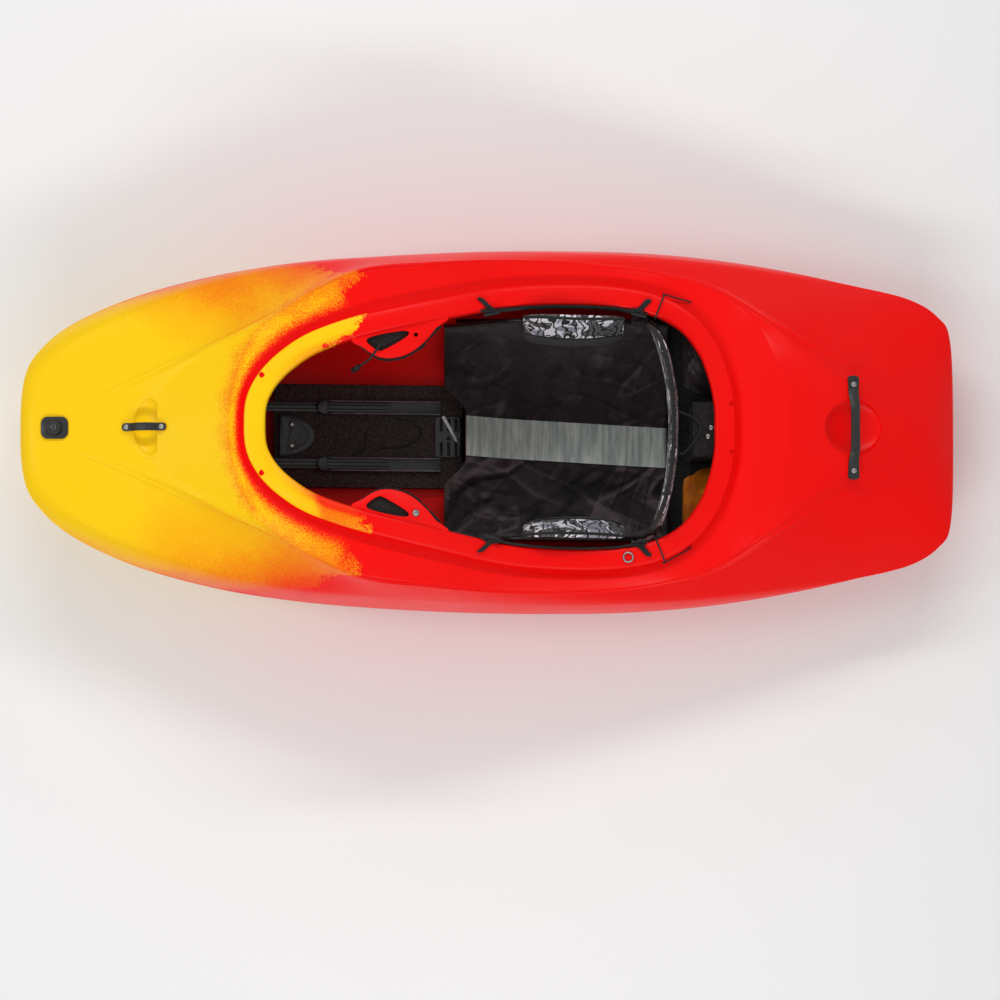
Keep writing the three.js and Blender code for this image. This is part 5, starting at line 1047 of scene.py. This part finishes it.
brushed_nylon = cloth_paint("brushed_nylon", (0.012, 0.008, 0.009), (0.034, 0.024, 0.026), 0.82, 5200,
                            ridge=(0.095, 0.072, 0.077))
black_binding = cloth_paint("black_binding", (0.004, 0.004, 0.004), (0.017, 0.016, 0.016), 0.75, 4200)
bm = bmesh.new()
slab(bm, *COVER_GRID, lambda along, across: seat_point(along, across, cover_height(along, across)),
     lambda along, across: seat_point(along, across, COVER_LOW))
cover = finished("seat_cover_cloth", bm, brushed_nylon, "seat", ["seat_cover"], sharp=None)
# The fold map, for painted highlight on the ridges and painted shade in the creases, weaker to starboard
mapped(cover, "fold", [folds(v.co.x, v.co.y) * (1.0 if v.co.y < 0 else STARBOARD_FOLD_WEAR_AND_SHADE)
                       for v in cover.data.vertices])

# Grey green webbing: fine ribs across it and worn paler bars, drawn along its own map
strip_webbing, tree, shader, _ = material("ribbed_webbing", 0.5, Specular_IOR_Level=0.45, Sheen_Weight=0.1)
chart = add(tree, "ShaderNodeUVMap", uv_map="cloth").outputs["UV"]
bands = add(tree, "ShaderNodeMapping", {"Vector": chart, "Scale": (34.0, 0.35, 1.0)}).outputs[0]
hairs = add(tree, "ShaderNodeMapping", {"Vector": chart, "Scale": (150.0, 0.8, 1.0)}).outputs[0]
tone = plus(tree, times(tree, cloudy(tree, bands, 1.0, 3.0, 0.6), 0.78),
            times(tree, cloudy(tree, hairs, 1.0, 2.0, 0.6), 0.22))
run = add(tree, "ShaderNodeSeparateXYZ", {"Vector": chart}).outputs["X"]
ribbed = maths(tree, "SINE", times(tree, run, 900.0))
covered(tree, shader, mix(tree, fit(tree, tone, 0.36, 0.66), (0.250, 0.295, 0.275), (0.500, 0.540, 0.500)),
        plus(tree, times(tree, ribbed, 0.5), tone), 0.45, 0.0005)


def strip_face(lift):
    """A face of the strip, at a height over the cover."""
    def place(along, across):
        share = SEAT_TURN * (STRIP_DRIFT * along + across * STRIP_HALF) / SEAT_FLAT
        wave = 0.0008 * noise.noise((along * 14, across * 1.5, 2.0))
        return seat_point(along, share, cover_height(along, share) + lift + wave)
    return place


bm = bmesh.new()
slab(bm, *STRIP_GRID, strip_face(STRIP_TOP), strip_face(STRIP_UNDER))
finished("seat_strip_webbing", bm, strip_webbing, "seat", ["seat_strip"], sharp=60)

# The bucket, its runners and the bolts of the back band, one to each side
PIVOT = (0.28498, 0.21778, 0.187924)
pan_plastic = nylon_paint("glossy_nylon", 0.009, 0.24)
dressed("seat_pan", pan_plastic, "seat", "black_plastic", 0.0015, 50)
for side_name, side in SIDES.items():
    nylon_part("seat_runner_" + side_name, 0.0015, 50)
    place = (Matrix.Translation((PIVOT[0], side * PIVOT[1], PIVOT[2]))
             @ Matrix.Rotation(-side * math.pi / 2, 4, "X"))
    screw_head("backband_bolt_" + side_name, place, 0.008, 0.0035, "seat", shank=0.004, deep=0.011)

# The plate under the nose of the seat that locks its place, and the steel latch on it
dressed("seat_ladder_plate", pan_plastic, "hull", "black_plastic", 0.0008)
dressed("seat_latch", stainless_steel, "hull", "steel", 0.0004)


# Hip pads
# Foam cushions in a printed cover, piped in black, one inside each side of the bucket. The print is a
# plain marbled pattern in grey, white and black.
HIP_END, HIP_LENGTH, HIP_LOW, HIP_OUTER = 0.25798, 0.192, 0.165524, 0.195326
HIP_STAND, HIP_RISE = [0.2, 0.95, 1, 0.9, 0.8, 0.62, 0.2], 0.03743
HIP_THICK, HIP_OVER, HIP_DENT, HIP_GRID = (0.034, 0.017), 0.006, 0.0016, (56, 40)
# Each line of piping: its height on the pad, its distance from the face and its radius
PIPING_LOW, PIPING_TOP = (0.12, 0.0004, 0.0021), (0.97, 0.0008, 0.0030)


def crest_at(x):
    """Height of the rim at x."""
    return float(np.interp(x, RIM_TABLE[:, 0], RIM_TABLE[:, 2]))


def eased(table, share):
    """A smooth run through a table of evenly spaced shares."""
    t = [2 * table[0] - table[1]] + table + [2 * table[-1] - table[-2]]
    at = min(max(share, 0), 0.99999) * (len(t) - 3)
    i = int(at)
    return float(catmull(t[i], t[i + 1], t[i + 2], t[i + 3], at - i))


def hip_face(side, inner):
    """The inner or the outer face of a cushion, which is thick below and thin at its crown."""
    def place(along, up_):
        up = (up_ + 1) / 2
        px = HIP_END - HIP_LENGTH + HIP_LENGTH * along
        top = crest_at(px) + HIP_RISE * eased(HIP_STAND, along)
        full = math.sin(math.pi * (0.12 + 0.76 * along)) ** 0.5
        thick = (HIP_THICK[0] + (HIP_THICK[1] - HIP_THICK[0]) * up) * full
        outer = HIP_OUTER + (SEAT_HALF + HIP_OVER - HIP_OUTER) * step(0.5, 1, up)
        rounding = edge_round(along, up_, 0.10, 0.16)
        middle = outer - thick / 2
        dent = HIP_DENT * noise.noise((along * 7, up * 6, 4.0 * side)) if inner else 0
        half = thick / 2 * (0.18 + 0.82 * rounding)
        z = HIP_LOW + (top - HIP_LOW) * up
        return (px, side * (middle - half + dent * rounding if inner else middle + half), z)
    return place


def midway(faces, run, up, rise):
    """A line between the two faces of a pad, at one height of it and lifted a little."""
    return [sum((Vector(face(a, up)) for face in faces), Vector()) / 2 + Vector((0, 0, rise)) for a in run]


def print_paint(name, plain_below=None, dark=0.445):
    """A marbled print: white and grey flames with black lines, and plain black low down if asked."""
    paint, tree, shader, where = material(name, 0.62, Sheen_Weight=0.05, Specular_IOR_Level=0.25)
    bent = add(tree, "ShaderNodeTexNoise", {"Vector": where, "Scale": 22.0, "Detail": 2.0, "Roughness": 0.5})
    drift = add(tree, "ShaderNodeVectorMath", {0: bent.outputs["Color"], 3: 0.075}, operation="SCALE")
    pulled = add(tree, "ShaderNodeVectorMath", {0: where, 1: drift.outputs[0]}, operation="ADD").outputs[0]

    def waves(scale, bend, fine):
        return add(tree, "ShaderNodeTexWave", {"Vector": pulled, "Scale": scale, "Distortion": bend,
                   "Detail": 0.0, "Detail Scale": fine}).outputs["Fac"]

    flames = cloudy(tree, pulled, 21.0, 0.0, 0.4)
    white = evenly(tree, flames, dark, dark + 0.01)
    tone = mix(tree, white, (0.035, 0.034, 0.035), (0.74, 0.74, 0.80))
    tone = mix(tree, evenly(tree, flames, 0.60, 0.61), tone, (0.27, 0.27, 0.33))
    hatching = evenly(tree, waves(62.0, 3.0, 1.0), 0.45, 0.55)
    hatched = times(tree, maths(tree, "SUBTRACT", 1.0, white), hatching)
    tone = mix(tree, hatched, tone, (0.17, 0.165, 0.17))
    from_border = maths(tree, "ABSOLUTE", maths(tree, "SUBTRACT", flames, dark + 0.005))
    swept = evenly(tree, waves(19.0, 2.6, 1.5), 0.14, 0.24)
    unlined = times(tree, swept, evenly(tree, from_border, 0.010, 0.016))
    tone = mix(tree, unlined, (0.010, 0.010, 0.010), tone)
    if plain_below is not None:
        chart = add(tree, "ShaderNodeUVMap", uv_map="cloth").outputs["UV"]
        rise = add(tree, "ShaderNodeSeparateXYZ", {"Vector": chart}).outputs["Y"]
        plain = mix(tree, cloudy(tree, where, 300.0), (0.018, 0.018, 0.018), (0.055, 0.053, 0.052))
        tone = mix(tree, evenly(tree, rise, plain_below - 0.01, plain_below + 0.01), plain, tone)
    covered(tree, shader, tone, cloudy(tree, where, 800.0, 2.0), 0.4, 0.0004)
    return paint


hip_print = print_paint("marbled_print_hip", 0.0)
for side_name, side in SIDES.items():
    inner, outer = hip_face(side, True), hip_face(side, False)
    bm = bmesh.new()
    slab(bm, *HIP_GRID, inner, outer)
    pad = finished("hip_pad_cushion_" + side_name, bm, hip_print, "seat",
                   ["hip_pad_" + side_name], sharp=None)
    up, off, radius = PIPING_LOW
    seam = [Vector(inner(a, up)) + Vector((0, -side * off, 0)) for a in np.linspace(0.02, 0.98, 60)]
    sewn_line("hip_piping_low_" + side_name, seam, radius, black_binding, "seat")
    up, off, radius = PIPING_TOP
    crown = midway((outer, inner), np.linspace(0, 1, 70), up, off)
    sewn_line("hip_piping_top_" + side_name, crown, radius, black_binding, "seat")


# Back band
# A padded band across the small of the back, bolted through both sides of the bucket. It is covered in
# the same print, bound in black along its edges, and the arms narrow to a tab at each bolt.
BAND_HALF, BAND_BOLT_X, BAND_BACK, BAND_OFF = 0.21498, 0.28498, 0.054, 0.012
BAND_TOP, BAND_LOW, ARM_TOP, ARM_LOW, TAB_LOW = 0.333924, 0.199924, 0.237924, 0.197924, 0.175924
ARM_SHARE, ARM_THICK, BAND_THICK, QUILT = 0.92, 0.005, 0.017, 0.0012
BAND_LEAN, LEAN_FROM, LEAN_TO = 0.015 / BAND_HALF, ARM_TOP - 0.017, ARM_TOP + 0.0085
BAND_GRID = (220, 30)
# Each binding: its height on the band, its lift and its radius
BINDINGS = {"top": (0.97, 0.0003, 0.0042), "low": (-0.97, -0.0004, 0.0030)}


def band_middle(u):
    """The line of the band seen from above, from one tab to the other."""
    share = min(abs(u), 1)
    turn = math.pi / 2 * min(share / ARM_SHARE, 1)
    back = BAND_BACK * max(math.cos(turn), 0) ** 1.15
    tab = max(share - ARM_SHARE, 0) / (1 - ARM_SHARE)
    px = BAND_BOLT_X + BAND_OFF * (1 - 2 * tab) + back
    return Vector((px, math.copysign(BAND_HALF * math.sin(turn), u), 0))


def band_face(rear):
    def place(along, up_):
        u, up = 2 * along - 1, (up_ + 1) / 2
        run = band_middle(min(u + 0.01, 1)) - band_middle(max(u - 0.01, -1))
        out = Vector((run.y, -run.x, 0)).normalized()
        middle = 1 - step(0.45, ARM_SHARE, abs(u))
        tab = step(0.9, 0.94, abs(u))
        low = (ARM_LOW + (TAB_LOW - ARM_LOW) * tab) * (1 - middle) + BAND_LOW * middle
        top = ARM_TOP * (1 - middle) + BAND_TOP * middle
        z = low + (top - low) * up
        thick = ARM_THICK * (1 - middle) + BAND_THICK * middle
        rounding = edge_round(along, up_, 0.012, 0.3 * middle + 0.1)
        quilt = QUILT * middle * noise.noise((u * 9, up * 4, 7.0 + rear))
        half = thick / 2 * (0.22 + 0.78 * rounding) + quilt * rounding
        p = band_middle(u) + out * half * (1 if rear else -1)
        return (p.x, p.y * (1 - BAND_LEAN * step(LEAN_FROM, LEAN_TO, z)), z)
    return place


bm = bmesh.new()
slab(bm, *BAND_GRID, band_face(True), band_face(False))
band_print = print_paint("marbled_print_band", dark=0.50)
band = finished("backband_cushion", bm, band_print, "backband", ["backband"], sharp=None)
for place_name, (up, rise, radius) in BINDINGS.items():
    line = midway((band_face(False), band_face(True)), np.linspace(0.004, 0.996, 150), up, rise)
    sewn_line("backband_binding_" + place_name, line, radius, black_binding, "backband")


# Webbing on the rim
# Four straps are knotted over the inner edge of the rim, each with its tail sticking out across it and
# a ladder buckle below. A flat black strap runs inside the rim from the front ones to the rear ones.
COCKPIT_BACK = 0.42898
# Where a tab stands along the boat, and how far its tail drifts along the rim
TABS = {"front": (COCKPIT_BACK - 0.423, -0.2475), "rear": (COCKPIT_BACK - 0.143, 0.2925)}
# The way of a tab over the rim: outward from the line of its opening, and down from its crest
TAB_PATH = np.array([(-0.0022, 0.023), (-0.0022, 0.010), (-0.0016, 0.0035), (0.0035, -0.0016),
                     (0.011, -0.0023), (0.020, -0.0030), (0.0265, -0.0046)]).T
TAB_THICK, STRAP_THICK, STRAP_OUT, STRAP_DROP, STRAP_SHORT = 0.0030, 0.004, -0.0026, 0.0105, 0.006
TAB_ROWS, STRAP_ROWS = 36, 90
KNOT_LOOPS, KNOT_CORD, KNOT = 5, 0.0016, (0.0075, 0.0032, 0.0034)


def strap(name, centre, half, thick, rows, replaced=()):
    """A flat strap that runs along centre points, each with its sideways and outward directions."""
    def face(sign):
        def place(along, across):
            spot, side, out = centre(along)
            return spot + side * half(along) * across + out * sign * thick / 2 * (1 - 0.35 * abs(across) ** 6)
        return place
    bm = bmesh.new()
    slab(bm, rows, 8, face(1), face(-1))
    finished(name, bm, black_binding, "hull", replaced, sharp=60)


def rib_at(x):
    """The place along the rim that lies at x."""
    return float(np.interp(x, RIM_TABLE[:, 0], RIM_RUN))


def rim_side(rib, side, out, drop):
    p = rim(rib, out, drop)[0]
    return Vector((p[0], side * p[1], p[2]))


def tab_centre(base, side, drift, twist):
    def centre(along):
        at = along * (TAB_PATH.shape[1] - 1)
        out, drop = [float(np.interp(at, range(TAB_PATH.shape[1]), path)) for path in TAB_PATH]
        rib = base + drift * max(along - 0.45, 0)
        here, ahead = rim_side(rib, side, out, drop), rim_side(rib + 0.02, side, out, drop)
        normal = Vector((0, -side, 0.05))
        if along >= 0.3:
            normal = Vector((0, -side * (0.6 - along), along)).normalized()
        return here, Matrix.Rotation(0.5 * twist * along, 3, normal) @ (ahead - here).normalized(), normal
    return centre


def tab_half(along):
    """Half the width of a tab, which narrows over the rim and is round at its end."""
    return (0.0095 - 0.0040 * step(0.35, 0.6, along)) * math.sqrt(1 - max(along - 0.9, 0) ** 2 * 95)


for place_name, (spot_x, drift) in TABS.items():
    for side_name, side in SIDES.items():
        base, corner = rib_at(spot_x), f"{place_name}_{side_name}"
        twist = noise.noise((spot_x * 40, side * 3.0, 1.0))
        strap("rim_webbing_" + corner, tab_centre(base, side, drift, twist), tab_half, TAB_THICK, TAB_ROWS,
              ["rim_tab_" + corner])
        nylon_part("rim_buckle_" + corner, 0.0008)
        # The knot: loops of webbing pulled tight beside the strap
        for k in range(KNOT_LOOPS):
            turn = k * 1.3 + side
            here = rim_side(base + 0.05 * (k - 2), side, -0.0015 + 0.002 * math.sin(turn),
                            -0.001 + 0.004 * math.cos(turn))
            loop = [here + Vector((KNOT[0] * math.cos(t) * (1 + 0.3 * math.sin(turn)),
                                   side * KNOT[1] * math.sin(t) * math.cos(turn),
                                   KNOT[2] * math.sin(t + 0.5 * turn)))
                    for t in np.linspace(0, 2 * math.pi, 20, endpoint=False)]
            sewn_line(f"knot_{corner}_{k + 1}", loop, KNOT_CORD, black_binding, "hull",
                      closed=True)


def inner_edge(side):
    """The line of the strap inside the rim, from the front tab to the rear one."""
    first, last = TABS["front"][0] + STRAP_SHORT, TABS["rear"][0] - STRAP_SHORT

    def centre(along):
        wave = 0.0008 * noise.noise((along * 11, side * 2.0, 5.0))
        here = rim_side(rib_at(first + (last - first) * along), side, STRAP_OUT + wave, STRAP_DROP)
        return here, Vector((0, side * 0.1, 1)).normalized(), Vector((0, -side, 0.1)).normalized()
    return centre


for side_name, side in SIDES.items():
    strap("rim_strap_" + side_name, inner_edge(side), lambda along: 0.0120 + 0.0010 * math.sin(along * 40),
          STRAP_THICK, STRAP_ROWS)

# Steel ring lashed to the rim beside the port hip
RING_PLACE, RING_RADIUS, RING_WIRE = (0.264875, -0.246179, 0.280428), 0.009, 0.0017
bm = turned([(RING_RADIUS + RING_WIRE * math.cos(t), RING_WIRE * math.sin(t))
             for t in np.linspace(0, 2 * math.pi, 16, endpoint=False)], 48, closed=True)
bmesh.ops.transform(bm, matrix=Matrix.Translation(RING_PLACE) @ Matrix.Rotation(0.08, 4, "Y"), verts=bm.verts)
finished("rim_ring_piece", bm, stainless_steel, "hull", ["rim_ring"], sharp=None)


# Stern
# A foam pillar holds the stern deck up, with two bolts in its top, and an air bag fills the room on each
# side of it: clear film to starboard, orange coated nylon to port.
dressed("stern_pillar", closed_cell_foam, "hull", "black_foam", 0.003, 50)

# Painted shade: black foam sheets laid on the floor between the seat and the pillar and under the seat's
# nose, where the floor lies in deep shade. First and last rib, and the level that the sheet reaches up to
SHADE_SHEETS = {"stern": (10.2, 12.3, 2.7), "nose": (7.95, 8.6, 1.0)}
SHADE_SHEET_TOP, SHADE_SHEET_UNDER, SHADE_SHEET_GRID = 0.0030, 0.0004, (24, 60)
STERN_BOLTS = ((0.41798, -0.014, 0.2404), (0.42398, 0.003, 0.2404))


def shade_sheet_face(first, last, widest, lift):
    def place(along, across):
        rib, level = first + (last - first) * along, abs(across) * widest
        p = (skin(rib, level) - skin_normal(rib, level) * (WALL + lift))[0]
        return (p[0], math.copysign(p[1], across) if abs(across) > 1e-6 else 0.0, p[2])
    return place


# Black sheets over the red floor: painted shade
for place_name, span in SHADE_SHEETS.items():
    bm = bmesh.new()
    slab(bm, *SHADE_SHEET_GRID, shade_sheet_face(*span, SHADE_SHEET_TOP), shade_sheet_face(*span, SHADE_SHEET_UNDER))
    finished(place_name + "_floor_shade_sheet", bm, closed_cell_foam, "hull", sharp=50)
for i, spot in enumerate(STERN_BOLTS):
    screw_head(f"stern_bolt_{i + 1}", Matrix.Translation(spot), deep=0.0002)

clear_film, tree, shader, where = material("clear_film", 0.14, Specular_IOR_Level=0.6,
                                           Transmission_Weight=0.35, IOR=1.4)
creased = cloudy(tree, where, 26.0, 6.0, 0.6)
tree.links.new(evenly(tree, creased, 0.3, 0.7, 0.08, 0.26), shader.inputs["Roughness"])
# Paler on the crests of the crinkles and darker in their hollows: painted highlight and shade
covered(tree, shader, mix(tree, creased, (0.020, 0.015, 0.018), (0.10, 0.085, 0.09)), creased, 0.6, 0.004)

coated_nylon, tree, shader, where = material("orange_coated_nylon", 0.5, Specular_IOR_Level=0.4)
creased = cloudy(tree, where, 30.0, 6.0, 0.65)
parts = add(tree, "ShaderNodeSeparateXYZ", {"Vector": where}).outputs
threads = [maths(tree, "SINE", times(tree, parts[axis], 1200.0)) for axis in "XZ"]
# Darker orange in the hollows of the creases and paler on their crests: painted shade and light
covered(tree, shader, mix(tree, fit(tree, creased, 0.3, 0.72), (0.55, 0.110, 0.002), (0.95, 0.30, 0.006)),
        plus(tree, creased, times(tree, maths(tree, "MAXIMUM", *threads), 0.02)), 0.6, 0.004)

BAGS = {"starboard": (clear_film, "clear_bag"), "port": (coated_nylon, "orange_bag")}
BAG_SUNK, PUCKER = 0.0006, 0.004
SEAM_X, SEAM_SPAN, SEAM_LEAN, SEAM_RAGGED, SEAM_RADIUS = 0.386, (0.075, 0.185), 0.03, 0.0022, 0.0011
for side_name, side in SIDES.items():
    paint, finish_slot = BAGS[side_name]
    bm = bmesh.new()
    bm.from_mesh(bpy.data.objects["float_bag_" + side_name].data)
    bmesh.ops.remove_doubles(bm, verts=bm.verts, dist=2e-5)
    bmesh.ops.join_triangles(bm, faces=bm.faces, angle_face_threshold=0.6, angle_shape_threshold=1.0)
    bmesh.ops.subdivide_edges(bm, edges=bm.edges, cuts=3, use_grid_fill=True, smooth=0.0)
    for _ in range(3):
        bmesh.ops.smooth_vert(bm, verts=bm.verts, factor=0.5,
                              use_axis_x=True, use_axis_y=True, use_axis_z=True)
    bm.normal_update()
    for v in bm.verts:
        pucker = max(1 - abs(noise.noise(v.co * 22 + Vector((side * 3, 0, 0)))) * 3, 0) ** 2
        v.co -= v.normal * (BAG_SUNK + PUCKER * pucker)
    bag = finished("air_bag_" + side_name, bm, paint, "hull", ["float_bag_" + side_name],
                   sharp=None)
    # The welded seam over the bag, with its trimmed edge a little ragged
    bag_top, seam = surface(bag), []
    for k, py in enumerate(np.linspace(*SEAM_SPAN, 60)):
        ragged = SEAM_RAGGED * noise.noise((k * 0.9, side * 5.0, 0.0))
        hit = under(bag_top, SEAM_X + ragged + SEAM_LEAN * abs(py - SEAM_SPAN[0]), side * py)
        if hit:
            seam.append(hit)
    sewn_line("bag_seam_" + side_name, seam, SEAM_RADIUS, paint, "hull")
